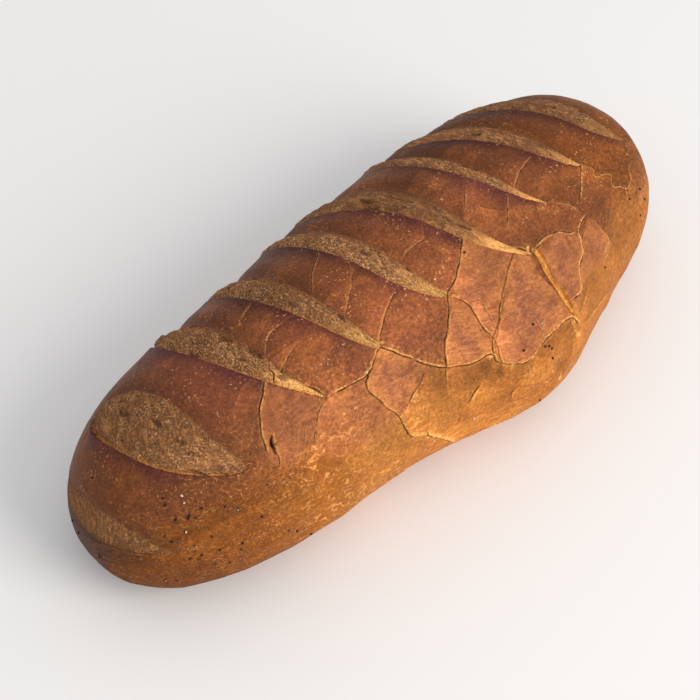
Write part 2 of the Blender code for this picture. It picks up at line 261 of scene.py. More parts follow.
# %% Heights across a slash, in millimetres
BED_DEPTH = 1.9
BED_SWELL_CREST = 1.0
BED_SWELL_BACK = 3.4
BED_SWELL_GROWS = (20, 65)  # degrees between which the swell goes from the crest's to the back's
BED_TILT = 0.35  # the floor is higher by this share beside the lip, and lower beside the crease
LIP_RISE = 0.8
LIP_REACH = 6.0
CREASE_REACH = 4.0
FULL_DEPTH_WIDTH = 5.0
BACK_FADE = 12.0  # degrees over which a slash dies out at its back end
OUTSIDE = -99.0  # how far inside a slash a place is when it isn't near one


def slash_profile(slash, along, around):
    """One slash's height, how far inside a place is, its share across, offset from the middle, half width."""
    if slash is SLASHES[0]:
        return end_slash_profile(along, around)
    middle, half = slash_lens(slash, around)
    offset = along - middle
    full = slash["deep"] * np.minimum(half / (FULL_DEPTH_WIDTH / 2), 1.0)
    full = full * smoothstep(0, BACK_FADE, slash["back"] - np.degrees(around))
    share = offset / np.maximum(half, LEAST_HALF)
    to_back = smoothstep(*BED_SWELL_GROWS, np.degrees(around))
    swell = BED_SWELL_CREST + (BED_SWELL_BACK - BED_SWELL_CREST) * to_back
    floor = swell * np.clip(1 - share**2, 0, 1) * (1 - BED_TILT * share) - BED_DEPTH
    lip = LIP_RISE * np.exp(-(np.abs(offset + half) / LIP_REACH))
    crease = -BED_DEPTH * np.exp(-(((offset - half) / CREASE_REACH) ** 2))
    height = full * np.where(share < -1, lip, np.where(share > 1, crease, floor))
    inside = np.minimum(offset + half, half - offset)
    return height, np.where(half > 0, inside, OUTSIDE), np.clip(share, -1, 1), offset, half


on_crest = [slash_profile(slash, np.array([slash["centre"]]), np.zeros(1))[0] for slash in SLASHES[1:]]
print("floors on the crest, mm below the crust:", (-np.array(on_crest)[:, 0]).round(1))

# %% [markdown]
# The front side tore as it rose. Narrow dark tears divide the crust into plates, and one edge of a tear
# often stands higher than the other. They could be cut one by one, but they meet and cross, so each is a
# run of places that the skin is lowered along. A tear's numbers are its half width, its depth, how much
# higher its left edge stands (or its right edge, where the number is negative), and how open its two ends
# are.

# %% Tears on the front
TEARS = (
    (0.20, 0.9, 0.50, 1.0, 1.0, ((-34, -33), (-30, -38), (-26, -43), (-21, -49), (-13, -55), (-5, -58),
                                 (2, -59), (8, -58), (9, -62), (12, -65), (16, -67), (21, -69), (27, -68),
                                 (34, -65), (45, -64), (55, -66), (58, -72))),
    (0.17, 0.8, 0.30, 1.0, 1.0, ((32, -14), (26, -18), (16, -24), (8, -28), (3, -34), (-3, -40), (-9, -47),
                                 (-13, -55))),
    (0.15, 0.7, 0.25, 0.8, 0.8, ((46, -29), (36, -34), (25, -41), (19, -47), (12, -53), (9, -58))),
    (0.15, 0.7, 0.30, 1.0, 1.0, ((8, -29), (12, -35), (11, -45), (13, -53), (11, -60), (11, -64))),
    (0.09, 0.3, 0.45, 0.3, 0.3, ((12, -37), (17, -37), (17, -42), (15, -50))),
    (0.17, 0.8, -0.35, 1.0, 0.6, ((-36, -33), (-46, -39), (-59, -38), (-68, -37))),
    (0.19, 0.9, 0.30, 0.6, 0.8, ((-45, -38), (-50, -44), (-47, -56), (-43, -64), (-42, -71), (-40, -79),
                                 (-36, -82))),
    (0.19, 0.9, 1.40, 0.9, 0.4, ((-40, -79), (-36, -82), (-32, -84), (-27, -90), (-21, -95), (-14, -107))),
    (0.16, 0.6, -0.30, 1.0, 0.3, ((-43, -65), (-36, -62), (-28, -56), (-21, -51))),
    (0.14, 0.6, -0.40, 0.8, 0.3, ((58, -33), (65, -33), (74, -36), (80, -41), (86, -43))),
    (0.22, 0.8, -0.45, 0.5, 0.4, ((95, -42), (88, -43), (84, -47), (80, -52), (74, -54), (71, -58),
                                  (68, -62), (58, -60))),
    (0.11, 0.4, -0.35, 0.4, 0.2, ((95, -42), (98, -47), (101, -54), (102, -61), (97, -63), (88, -63))),
    (0.17, 0.7, 0.35, 0.8, 0.15, ((-86, -15), (-95, -23), (-100, -30), (-102, -35), (-104, -40),
                                  (-104, -45))),
    (1.15, 3.2, 0.70, 0.4, 0.3, ((-98, -36), (-100, -39), (-101, -44))),
    (0.15, 0.6, 0.30, 1.0, 0.3, ((-101, -42), (-101, -46), (-102, -49), (-105, -52))),
    (0.15, 0.4, 0.20, 0.6, 0.3, ((-69, -37), (-75, -40), (-82, -47), (-87, -53))),
    (0.15, 0.7, 0.20, 1.0, 0.1, ((-34, -33), (-25, -24), (-14, -18), (-8, -15))),
    (0.13, 0.4, 0.20, 0.6, 0.3, ((-35, -12), (-27, -6), (-16, 2))),
    (0.17, 0.6, 0.30, 0.8, 0.4, ((115, -22), (106, -29), (96, -36))),
    (0.13, 0.4, -0.35, 0.6, 0.3, ((114, -25), (118, -29), (116, -33), (122, -35), (126, -39), (122, -43),
                                  (127, -46), (131, -50), (138, -48), (140, -44), (147, -42))),
    (0.09, 0.3, 0.40, 0.4, 0.4, ((94, -86), (80, -82), (64, -77))),
    (0.13, 0.4, -0.30, 0.3, 0.6, ((80, -23), (86, -28), (91, -33), (94, -39))),
    (0.12, 0.4, 0.20, 0.9, 0.6, ((60, 4), (45, -6))),
    (0.14, 0.4, 0.20, 0.8, 0.6, ((67, -12), (54, -21))),
    (0.14, 0.4, 0.20, 0.7, 0.7, ((76, -11), (83, -8), (94, -6))),
    (0.14, 0.4, 0.20, 0.9, 0.2, ((-77, -15), (-74, -14), (-67, -11), (-61, -10))),
    (0.14, 0.4, 0.20, 0.5, 0.3, ((-75, -4), (-71, 0), (-66, 2), (-58, 2))),
    (0.13, 0.3, 0.20, 0.5, 0.5, ((-71, 17), (-59, 22))),
    (0.13, 0.3, 0.20, 0.5, 0.5, ((5, -6), (21, -5))),
    (0.15, 0.4, 0.20, 0.6, 0.5, ((-18, 21), (-31, 13), (-37, 7))),
    (0.14, 0.4, 0.20, 0.8, 0.1, ((-13, -55), (-16, -62), (-18, -70))),
    (0.10, 0.3, 0.25, 0.8, 0.2, ((13, -61), (11, -67), (9, -72))),
    (0.10, 0.3, 0.25, 0.8, 0.2, ((28, -66), (25, -72), (21, -79))),
    (0.14, 0.5, 0.30, 0.4, 0.3, ((51, -78), (50, -82), (49, -85))),
    (0.07, 0.2, 0.10, 0.6, 0.4, ((85, -18), (78, -21), (72, -26))),
    (0.09, 0.3, 0.20, 0.2, 0.8, ((36, -43), (34, -49), (37, -62))),
    (0.20, 0.8, 0.40, 0.5, 0.5, ((-1, -70), (-5, -73), (-9, -78))),
    (0.15, 0.5, 0.35, 0.4, 0.2, ((16, -80), (13, -82), (12, -84), (13, -90))),
    (0.10, 0.3, 0.25, 0.6, 0.2, ((22, -69), (22, -73), (20, -81))),
    (0.16, 0.7, 0.30, 1.0, 0.3, ((56, -65), (53, -68), (54, -75), (56, -82))),
    (0.15, 0.5, 0.30, 0.4, 0.4, ((73, -66), (64, -68), (57, -68))),
    (0.15, 0.5, 0.30, 0.4, 0.8, ((-30, -79), (-31, -81), (-31, -85))),
    (0.08, 0.4, 0.90, 0.5, 0.3, ((3, -107), (8, -102), (13, -102), (20, -102))),
    (0.08, 0.4, 0.80, 0.4, 0.3, ((45, -89), (40, -92), (35, -95))),
    (0.14, 0.6, 0.25, 0.3, 1.0, ((-74, -24), (-72, -27), (-70, -30), (-69, -34), (-68, -37))),
    (0.30, 1.2, 0.50, 0.2, 0.4, ((-78, -9), (-79, -11), (-79, -14), (-82, -17))),
    (0.13, 0.6, 0.25, 0.2, 1.0, ((-36, -19), (-35, -26), (-34, -33))),
    (0.13, 0.6, 0.25, 0.2, 1.0, ((1, -18), (4, -23), (8, -29))),
    (0.13, 0.6, 0.25, 0.2, 1.0, ((50, -26), (53, -30), (55, -33))),
    (0.12, 0.5, -0.15, 0.2, 0.2, ((-193, 31), (-196, 3), (-190, -26), (-183, -45), (-177, -55),
                                  (-168, -62))),
    (0.08, 0.3, 0.25, 0.3, 0.3, ((-85, -37), (-90, -44), (-94, -49))),
    (0.08, 0.3, 0.25, 0.3, 0.3, ((-81, -38), (-87, -46), (-92, -52))),
    (0.09, 0.3, 0.25, 0.3, 0.3, ((-77, -42), (-83, -49), (-87, -54))),
)
print(len(TEARS), "tears")

# %% Lengths on a flattened crust, and smooth runs through places
FLAT_RADIUS = 60.0  # turns an angle on the front into a length
RUN_STEP = 1.5


def flat(places):
    """Places as lengths on a flattened crust."""
    points = np.array(places, dtype=float)
    return np.stack([points[:, 0], np.radians(points[:, 1]) * FLAT_RADIUS], axis=-1)


def flowing(places):
    """A smooth run through places, in short straight stretches."""
    corners = flat(places)
    corners = np.vstack([2 * corners[0] - corners[1], corners, 2 * corners[-1] - corners[-2]])
    run = [corners[1]]
    for before, start, end, after in zip(corners, corners[1:], corners[2:], corners[3:]):
        steps = max(1, round(np.linalg.norm(end - start) / RUN_STEP))
        for t in np.arange(1, steps + 1) / steps:
            bend = (end - before) * t + (2 * before - 5 * start + 4 * end - after) * t**2
            run.append(start + (bend + (3 * start - before - 3 * end + after) * t**3) / 2)
    return np.array(run)


def beside_run(points, run):
    """Distance of each point from a run, its side, how far along the run it is, and the run's length."""
    best = np.full(len(points), np.inf)
    side_of = np.ones(len(points))
    reached = np.zeros(len(points))
    before = 0.0
    for start, end in zip(run, run[1:]):
        length = np.linalg.norm(end - start)
        way = (end - start) / length
        share = np.clip((points - start) @ way, 0, length)
        away = points - start - share[:, None] * way
        gap = np.linalg.norm(away, axis=1)
        closer = gap < best
        best = np.where(closer, gap, best)
        side_of = np.where(closer, np.sign(way[0] * away[:, 1] - way[1] * away[:, 0]), side_of)
        reached = np.where(closer, before + share, reached)
        before += length
    return best, side_of, reached, before


RUNS = [flowing(tear[-1]) for tear in TEARS]
print("their runs have", sum(len(run) for run in RUNS), "stretches")

# %% [markdown]
# Between the tears the skin lifted and dried into matt plates, and one wide tear shows golden crumb skin. A
# plate is a polygon of places with a tone, where more is paler and more matt, and the height in millimetres
# that it lifts.

# %% Plates between the tears, and the wide opening
OPENING = ((57, -34), (56, -42), (55, -50), (56, -58), (57, -65))
OPENING_HALF_WIDTH = 1.7
PLATES = (
    (0.9, 0.25, ((8, -30), (11, -35), (11, -45), (11, -52), (8, -59), (-1, -59), (-13, -55), (-9, -47),
                 (-3, -40))),
    (0.7, 0.10, ((33, -14), (46, -29), (36, -34), (25, -41), (12, -53), (11, -45), (11, -35), (8, -29),
                 (20, -21))),
    (1.1, 0.20, ((12, -37), (17, -37), (17, -42), (15, -50), (11, -44))),
    (0.8, 0.35, ((47, -29), (53, -34), (51, -40), (53, -56), (56, -67), (38, -63), (24, -68), (15, -67),
                 (11, -64), (10, -58), (19, -47), (36, -34))),
    (1.0, 0.45, ((58, -34), (74, -36), (79, -42), (85, -45), (84, -49), (74, -57), (69, -63), (58, -62),
                 (56, -51), (56, -35))),
    (0.6, 0.30, ((94, -43), (98, -49), (102, -58), (103, -63), (96, -67), (79, -62), (71, -62), (73, -57),
                 (78, -53), (84, -48))),
    (1.0, 0.35, ((-36, -32), (-45, -38), (-50, -44), (-48, -51), (-47, -57), (-43, -64), (-38, -63),
                 (-30, -57), (-21, -51), (-24, -45), (-31, -36))),
    (0.5, 0.20, ((-86, -16), (-78, -26), (-69, -37), (-75, -40), (-82, -47), (-87, -53), (-99, -55),
                 (-105, -46), (-104, -38), (-100, -30), (-93, -22))),
    (0.4, 0.10, ((-68, -37), (-59, -38), (-46, -39), (-50, -44), (-47, -56), (-43, -64), (-48, -72),
                 (-62, -70), (-77, -64), (-88, -56), (-82, -47), (-75, -40))),
    (0.2, 0.15, ((106, -22), (120, -33), (125, -46), (123, -53), (106, -60), (98, -49), (95, -41),
                 (101, -32))),
)


def into_polygon(points, corners):
    """How far each point lies inside a polygon, negative outside it."""
    loop = np.vstack([corners, corners[:1]])
    gap = beside_run(points, loop)[0]
    crossings = np.zeros(len(points), dtype=int)
    for start, end in zip(loop, loop[1:]):
        spans = (start[1] > points[:, 1]) != (end[1] > points[:, 1])
        rise = end[1] - start[1] if end[1] != start[1] else 1e-9
        border = start[0] + (points[:, 1] - start[1]) / rise * (end[0] - start[0])
        crossings += spans & (points[:, 0] < border)
    return np.where(crossings % 2 == 1, gap, -gap)


print(len(PLATES), "plates")

# %% [markdown]
# Nothing on a loaf is straight or even. One soft noise serves every wandering line and bump: with a seed
# for each use, it gives the same loaf on every run.

# %% Uneven hand: soft noise for every wandering line and bump
NOISE_SHIFT = (17.3, 5.1, 9.7)  # each seed looks this much further into the noise
SWAY = (0.6, 7.0, 3)  # how far lines wander slowly, over what size, and the first seed
TREMBLE = (0.24, 2.2, 5)  # the same for how they wander quickly


def rough(points, size, seed, octaves=1):
    """Soft noise of about -1 to 1 at each point, with bumps of the given size."""
    shift = Vector([seed * part for part in NOISE_SHIFT])
    scaled = np.asarray(points) / size
    if octaves == 1:
        return np.array([noise.noise(Vector(point) + shift) for point in scaled])
    return np.array([noise.fractal(Vector(point) + shift, 1.0, 2.0, octaves) for point in scaled])


def wandering(points):
    """Flattened points moved a little, so that whatever is looked up at them wanders."""
    lifted = np.column_stack([points, np.zeros(len(points))])
    aside = [sum(reach * rough(lifted, size, seed + axis) for reach, size, seed in (SWAY, TREMBLE))
             for axis in (0, 1)]
    return points + np.stack(aside, axis=-1)


crest_line = np.column_stack([np.linspace(NEAR_TIP, FAR_TIP, 200), np.zeros(200)])
print("lines wander by up to", np.abs(wandering(crest_line) - crest_line).max().round(2), "mm")

# %% [markdown]
# The skin starts as Blender's own sphere with its poles turned to the ends of the loaf. Its rings are then
# slid until some of them run exactly along every lip and crease, which keeps those edges crisp. A sphere is
# chosen over a grid because it is closed from the start.

# %% Where the sphere's rings and columns go
BED_SHARES = np.concatenate([[-1.0, -0.9], np.linspace(-0.75, 0.8, 6), [1.0]])  # rings across a floor
PANEL_SHARES = np.linspace(0, 1, 8)[1:-1]  # rings between two slashes
END_SHARES = np.linspace(0, 1, 12)[1:-1]  # rings beyond the last slash
NEAR_END_RINGS = 4  # of those, how many come before the first slash
LIP_BAND = 0.8
LIP_CURL = 2.2
CREASE_BAND = 3.0
LEAST_RING_SHARE = 0.3  # rings stay this share of a slash's width apart where it closes
STRAIGHTEN_OVER = 45.0  # degrees
CROWN_ANGLE = 118.0  # degrees from the crest to where the columns get coarser
CROWN_COLUMNS = 120
UNDERSIDE_COLUMNS = 22


def straightening(slash, around):
    """0 beside a slash, rising to 1 below both its ends, where rings run straight round the underside."""
    degrees = np.degrees(around)
    past = np.maximum(degrees - slash["back"], slash["tip"] - degrees)
    return smoothstep(0, STRAIGHTEN_OVER, past)


def ring_lines(around):
    """The along of every ring at each angle."""
    lines = []
    last = np.full_like(around, NEAR_TIP)
    for number, slash in enumerate(SLASHES):
        middle, half = slash_lens(slash, around)
        middle = middle + (slash["centre"] - middle) * straightening(slash, around)
        half = np.maximum(half, LEAST_RING_SHARE * slash["width"] / 2)
        curl = middle - half - LIP_CURL
        near_shares = END_SHARES[:NEAR_END_RINGS] / END_SHARES[NEAR_END_RINGS]
        shares = near_shares if number == 0 else PANEL_SHARES
        lines.extend(last + (curl - last) * share for share in shares)
        lines.extend([curl, middle - half - LIP_BAND, middle - half - LIP_BAND / 2])
        lines.extend(middle + half * share for share in BED_SHARES)
        last = middle + half + CREASE_BAND
        lines.extend([middle + half + CREASE_BAND / 2, last])
    lines.extend(last + (FAR_TIP - last) * share for share in END_SHARES)
    return np.array(lines)


crown_angles = np.linspace(-CROWN_ANGLE, CROWN_ANGLE, CROWN_COLUMNS)
underside_angles = np.linspace(CROWN_ANGLE, 360 - CROWN_ANGLE, UNDERSIDE_COLUMNS + 2)[1:-1]
column_angles = np.concatenate([crown_angles, (underside_angles + 180) % 360 - 180])
column_angles = np.radians(np.sort(column_angles))
rings = ring_lines(column_angles)
print("rings and columns:", rings.shape, "least gap", np.diff(rings, axis=0).min().round(3))

# %% Make the sphere and note each vertex's place on the crust
skin = bmesh.new()
columns, ring_count = len(column_angles), len(rings)
bmesh.ops.create_uvsphere(skin, u_segments=columns, v_segments=ring_count + 1, radius=1.0)
along_layer = skin.verts.layers.float.new("along")
around_layer = skin.verts.layers.float.new("around")
for vertex in skin.verts:
    x, y, z = vertex.co
    ring = round(math.acos(max(-1.0, min(1.0, z))) / math.pi * (ring_count + 1))
    column = round(math.atan2(y, x) / (2 * math.pi) * columns) % columns
    if ring == 0 or ring == ring_count + 1:
        vertex[along_layer] = NEAR_TIP if ring == 0 else FAR_TIP
        vertex[around_layer] = 0.0
    else:
        vertex[along_layer] = rings[ring - 1][column]
        vertex[around_layer] = column_angles[column]
print("sphere:", len(skin.verts), "vertices")

# %% [markdown]
# Fine work needs fine faces, but only where it shows: on the floors of the slashes and along the tears. An
# edge that is too long for its place is cut in two, and again until it is short enough. The cut vertices
# inherit their place on the crust. Edges at the poles and across the seam under the loaf stay whole,
# because their middle would land elsewhere.

# %% How fine the faces should be, in millimetres
BED_FACE = 0.92
LIP_REACH_FINE = 1.0
TEAR_FACE = 0.31
TEAR_GROWTH = 0.60  # an edge may be this much longer for each millimetre away from a tear
COARSE_FACE = 9.0
LONGEST = 1.4  # an edge is cut when it is longer than this many times what is wanted
CUTTING_TURNS = 6
TEAR_SEARCH = 6.0  # a tear is looked for this far around its run
FAR_AWAY = 99.0
OPENING_MARGIN = 0.3


def gap_to_tears(points):
    """Distance from each flattened point to the nearest tear."""
    points = wandering(points)
    nearest = np.full(len(points), FAR_AWAY)
    widths = [0.0] * len(RUNS) + [OPENING_HALF_WIDTH + OPENING_MARGIN]
    for run, width in zip(RUNS + [flowing(OPENING)], widths):
        low, high = run.min(axis=0) - TEAR_SEARCH, run.max(axis=0) + TEAR_SEARCH
        close = np.where(np.all((points > low) & (points < high), axis=1))[0]
        gap = np.maximum(beside_run(points[close], run)[0] - width, 0)
        nearest[close] = np.minimum(nearest[close], gap)
    return nearest


def wanted_length(along, around):
    """Length that an edge may have at each place."""
    wanted = np.full(len(along), COARSE_FACE)
    for slash in SLASHES:
        inside = slash_profile(slash, along, around)[1]
        wanted = np.where(inside > -LIP_REACH_FINE, BED_FACE, wanted)
    gap = gap_to_tears(np.stack([along, around * FLAT_RADIUS], axis=-1))
    return np.minimum(wanted, TEAR_FACE + TEAR_GROWTH * np.maximum(gap - TEAR_FACE, 0))


print(f"longest edge beside a tear {LONGEST * TEAR_FACE:.2f} mm, on a floor {LONGEST * BED_FACE:.2f} mm")


# %% Cut the edges that are too long
def lay_on_body(mesh_skin):
    """Puts each vertex at its place on the smooth body; gives the places and points."""
    along = np.array([vertex[along_layer] for vertex in mesh_skin.verts])
    around = np.array([vertex[around_layer] for vertex in mesh_skin.verts])
    points = smooth_skin(along, around)
    for vertex, point in zip(mesh_skin.verts, points):
        vertex.co = point
    mesh_skin.verts.index_update()
    return along, around, points


for turn in range(CUTTING_TURNS):
    along, around, points = lay_on_body(skin)
    first, second = np.array([[vertex.index for vertex in edge.verts] for edge in skin.edges]).T
    lengths = np.linalg.norm(points[first] - points[second], axis=1)
    middle_along, middle_around = (along[first] + along[second]) / 2, (around[first] + around[second]) / 2
    whole = np.abs(around[first] - around[second]) > math.pi
    tips = (along < NEAR_TIP + 0.01) | (along > FAR_TIP - 0.01)
    whole |= tips[first] | tips[second]
    too_long = (lengths > LONGEST * wanted_length(middle_along, middle_around)) & ~whole
    edges = [edge for edge, cut in zip(skin.edges, too_long) if cut]
    bmesh.ops.subdivide_edges(skin, edges=edges, cuts=1, use_grid_fill=True)
    lay_on_body(skin)
    bmesh.ops.triangulate(skin, faces=skin.faces)
    print("cut", len(edges), "edges:", len(skin.faces), "triangles")

# %% [markdown]
# The relief is a sum of heights along the outward direction: slashes, plates, tears, and several sizes of
# noise. Bumps in the material alone would be simpler, but they change neither the outline nor the exported
# shape. So the heights are worked out for all vertices at once, and each vertex also keeps what the colours
# need: how deep in a slash it lies, how far from a tear, and on what sort of plate.

# %% Turn the sphere into a mesh and read the places back
mesh = bpy.data.meshes.new("crust")
skin.to_mesh(mesh)
skin.free()
count = len(mesh.vertices)
along = np.zeros(count, np.float32)
around = np.zeros(count, np.float32)
mesh.attributes["along"].data.foreach_get("value", along)
mesh.attributes["around"].data.foreach_get("value", around)
along, around = along.astype(float), around.astype(float)
degrees = np.degrees(around)
base = smooth_skin(along, around)
normal = skin_normal(along, around)
crust_place = np.stack([along, around * FLAT_RADIUS, np.zeros(count)], axis=-1)
height = np.zeros(count)
print(count, "vertices carry the relief")

# %% [markdown]
# No two floors baked alike. Some are pale or coarse and some are drawn out in threads, and their front ends
# have a tone of their own; their far sides get painted shade towards the crease. That is written down for
# each slash, and a vertex takes it from the slash that it lies deepest in.

# %% Heights of the slashes, and how each floor looks
BED_LIGHT = (0.98, 0.97, 1.05, 1.05, 1.20, 1.00, 1.22, 1.08, 0.96)  # how pale each slash's floor baked
TIP_LIGHT = (1.0, 1.20, 1.32, 0.86, 0.86, 1.80, 1.28, 1.38, 0.84)  # times this at its front end
TIP_BEGINS = (-6, -24)  # degrees between which a floor takes on the tone of its front end
BED_GRAIN = (0.18, 0.28, 0.52, 0.46, 0.46, 0.18, 0.34, 0.22, 0.34)  # how coarse its crumb is
BED_THREADED = (0.4, 0.25, 0.7, 0.85, 0.85, 0.8, 0.7, 0.6, 0.6)  # how thread-like it is, or else gritty
BED_FAR_SHADE = (0.4, 0.5, 0.9, 0.9, 0.9, 0.85, 0.8, 0.7, 0.4)  # how much painted shade darkens its far side, towards the crease
BED_SOFTNESS = (5.0, 0.8, 0.4)  # width in which the floor's look fades in: first slash, second, all others
BED_EDGE_SHARE = 0.3  # it starts to fade in this share of that width outside the floor
BED_APART = 40.0  # keeps the patterns of two floors apart
OPEN_HALF = 0.3  # lip and crease are only shaded where a slash is wider than this to each side
EDGE_MARGIN = 0.2
bed_inside = np.full(count, OUTSIDE)
bed_across = np.zeros(count)
bed_place = crust_place.copy()
bed_softness = np.full(count, BED_SOFTNESS[-1])
bed_light = np.zeros(count)
bed_grain = np.zeros(count)
bed_threaded = np.zeros(count)
from_lip = np.zeros(count)
slash_number = np.zeros(count, dtype=int)
lip_gap = np.full(count, FAR_AWAY)
crease_gap = np.full(count, FAR_AWAY)
at_tip = smoothstep(*TIP_BEGINS, degrees)
for number, slash in enumerate(SLASHES):
    rise, inside, share, offset, half = slash_profile(slash, along, around)
    height += rise
    deeper = inside > bed_inside
    slash_number[deeper] = number
    bed_inside = np.where(deeper, inside, bed_inside)
    bed_across = np.where(deeper, share, bed_across)
    bed_place[deeper, 0] = offset[deeper]
    bed_place[deeper, 2] = BED_APART * number
    bed_softness = np.where(deeper, BED_SOFTNESS[min(number, 2)], bed_softness)
    bed_light = np.where(deeper, BED_LIGHT[number] * (1 + (TIP_LIGHT[number] - 1) * at_tip), bed_light)
    bed_grain = np.where(deeper, BED_GRAIN[number], bed_grain)
    bed_threaded = np.where(deeper, BED_THREADED[number], bed_threaded)
    from_lip = np.where(deeper, offset + half, from_lip)
    before_lip = (half > OPEN_HALF) & (offset < -half + EDGE_MARGIN)
    lip_gap = np.where(before_lip, np.minimum(lip_gap, np.abs(offset + half)), lip_gap)
    after_crease = (half > OPEN_HALF) & (offset > half - EDGE_MARGIN)
    crease_gap = np.where(after_crease, np.minimum(crease_gap, np.abs(offset - half)), crease_gap)
bed = smoothstep(-BED_EDGE_SHARE * bed_softness, bed_softness, bed_inside)
print(f"{(bed > 0.5).mean():.2f} of the vertices lie in slashes")

# %% [markdown]
# The plates lift most at their edges, where they dried and curled. The wide opening sinks in, with a painted
# shadow line along its near edge, and the low front has a few soft dents where the dough sank.

# %% Heights and looks of the plates
PLATE_EDGE = 0.35  # half the width over which a plate's edge steps up
PLATE_INNER = (0.5, 8.0)  # from the edge inwards, where the look of a plate's middle fades in
PLATE_MIDDLE_LIFT = 0.3  # the middle of a plate lifts this share of what its edges lift
PLATE_CURL_REACH = 3.0
PLATE_LIGHT = (0.98, 1.06, 1.32, 0.97, 0.88, 0.94, 1.00, 0.92, 1.20, 0.94)
flat_place = wandering(crust_place[:, :2])
plate = np.zeros(count)
plate_inner = np.zeros(count)
plate_light = np.ones(count)
for (tone, lift, corners), light in zip(PLATES, PLATE_LIGHT):
    into = into_polygon(flat_place, flat(corners))
    share = smoothstep(-PLATE_EDGE, PLATE_EDGE, into)
    plate = np.where(share > 0, plate * (1 - share) + tone * share, plate)
    plate_inner = np.maximum(plate_inner, smoothstep(*PLATE_INNER, into))
    plate_light = plate_light * (1 - share) + light * share
    curl = np.exp(-np.maximum(into, 0) / PLATE_CURL_REACH)
    height += lift * share * (PLATE_MIDDLE_LIFT + (1 - PLATE_MIDDLE_LIFT) * curl)
print(f"{(plate > 0).mean():.2f} of the vertices lie on plates")

# %% The wide opening
OPENING_DEPTH = 1.1
OPENING_EDGE = 0.2
OPENING_NARROWS = (-72, -56)  # degrees between which it opens from nothing to its full width
# width of the painted shadow line along the opening's near edge, and the angle where it ends
OPENING_RIM = 0.6
OPENING_RIM_END = -68  # degrees
opening_gap, opening_side, _, _ = beside_run(flat_place, flowing(OPENING))
opening_half = OPENING_HALF_WIDTH * (0.85 + 0.3 * rough(crust_place, 7.0, 8))
opening_half = opening_half * smoothstep(*OPENING_NARROWS, degrees)
opening = smoothstep(OPENING_EDGE, -OPENING_EDGE, opening_gap - opening_half)
height -= OPENING_DEPTH * opening
# a painted shadow line along the opening's near edge
opening_shadow_line = np.exp(-(((opening_gap - opening_half) / OPENING_RIM) ** 2))
opening_shadow_line = opening_shadow_line * (opening_side < 0) * (degrees > OPENING_RIM_END)
print("the wide opening takes", int((opening > 0.5).sum()), "vertices")

# %% Soft dents low on the front: along, around, radius and depth
DENTS = (
    (3, -64, 3.2, 0.8), (-4, -67, 2.4, 0.6), (9, -68, 2.2, 0.5), (-55, -62, 5.0, 0.6), (40, -82, 4.0, 0.5),
)
dented = np.zeros(count)
for dent_along, dent_around, radius, depth in DENTS:
    away = np.linalg.norm(flat_place - flat([(dent_along, dent_around)]), axis=1)
    hollow = np.exp(-((away / radius) ** 2))
    dented = np.maximum(dented, hollow)
    height -= depth * hollow
print(len(DENTS), "dents, the deepest", max(dent[-1] for dent in DENTS), "mm")

# %% [markdown]
# A tear changes the skin in four ways: it is a groove, one of its edges stands higher, it gets painted shade
# inside, and its edge shows a pale line of crumb. Noise breaks it up along its run, so that it comes and goes
# as a real one does. Where tears meet, small flakes curl up. The crust next to a tear is also painted lighter
# on its raised side and darker on its low side.

# %% Grooves of the tears
HAIRLINE_HALF_WIDTH = 0.05  # below this half width nothing of a tear shows
SHARP_HALF_WIDTH = 0.18  # from this half width on, the painted shade in a tear is quite dark
RIM_STEP = 0.34  # a raised edge this high is quite pale
LOW_RIM = 0.15  # how pale the lower edge is
FAINTEST = 0.15  # how dark or pale the faintest tear is
TEAR_REACH = 8.0  # a tear changes the skin this far around its run
TAPER = 8.0  # it closes over this length at its ends
SHOULDER = 2.2  # a raised edge falls off over this distance
TEAR_SIDE_REACH = 5.0  # the crust is painted lighter on a tear's raised side and darker on its low side over this distance
# the tears' painted shade starts with the opening's painted shadow line
tear_shade = 0.9 * opening_shadow_line
tear_rim = np.zeros(count)
tear_side_light_shade = np.zeros(count)
for (half_width, depth, step, first_end, last_end, _), run in zip(TEARS, RUNS):
    low, high = run.min(axis=0) - TEAR_REACH, run.max(axis=0) + TEAR_REACH
    close = np.where(np.all((flat_place > low) & (flat_place < high), axis=1))[0]
    gap, side_of, reached, total = beside_run(flat_place[close], run)
    openness = np.clip(first_end + reached / TAPER, 0, 1)
    openness = openness * np.clip(last_end + (total - reached) / TAPER, 0, 1)
    broken = 0.7 * rough(crust_place[close], 5.0, 9) + 0.5 * rough(crust_place[close], 1.8, 15)
    width = half_width * openness * (0.85 + 0.5 * broken)
    strength = np.clip((width - HAIRLINE_HALF_WIDTH) / (SHARP_HALF_WIDTH - HAIRLINE_HALF_WIDTH), 0, 1)
    shown = FAINTEST + (1 - FAINTEST) * strength
    groove = np.exp(-((gap / np.maximum(width + 0.10, 0.24)) ** 2))
    height[close] -= depth * openness * (0.4 + 0.6 * strength) * groove
    raised = side_of * np.sign(step) > 0
    height[close] += np.where(raised, abs(step) * (np.exp(-gap / SHOULDER) * openness), 0) * (1 - groove)
    dark_edge = width + 0.15 + 0.11 * strength
    core = smoothstep(dark_edge, 0.3 * width, gap) * shown * np.clip(openness * 2, 0, 1)
    # painted shade inside the tear's groove
    tear_shade[close] = np.maximum(tear_shade[close], core * np.clip(0.8 + 0.9 * broken, 0.2, 1))
    rim_width = 0.3 + 1.2 * abs(step)
    pale = smoothstep(width, dark_edge, gap)
    pale = pale * smoothstep(dark_edge + rim_width, dark_edge + 0.3 * rim_width, gap)
    pale = pale * np.where(raised, np.clip(abs(step) / RIM_STEP, 0, 1), LOW_RIM) * shown * openness
    tear_rim[close] = np.maximum(tear_rim[close], pale)
    # painted light on a tear's raised side and painted shade on its low side
    tear_side_light_shade[close] += np.where(raised, 1, -1) * np.exp(-gap / TEAR_SIDE_REACH) * openness * smoothstep(0, 0.4, gap)
print(f"{(tear_shade > 0.5).sum()} vertices are dark in a tear, {(tear_rim > 0.5).sum()} on a pale edge")

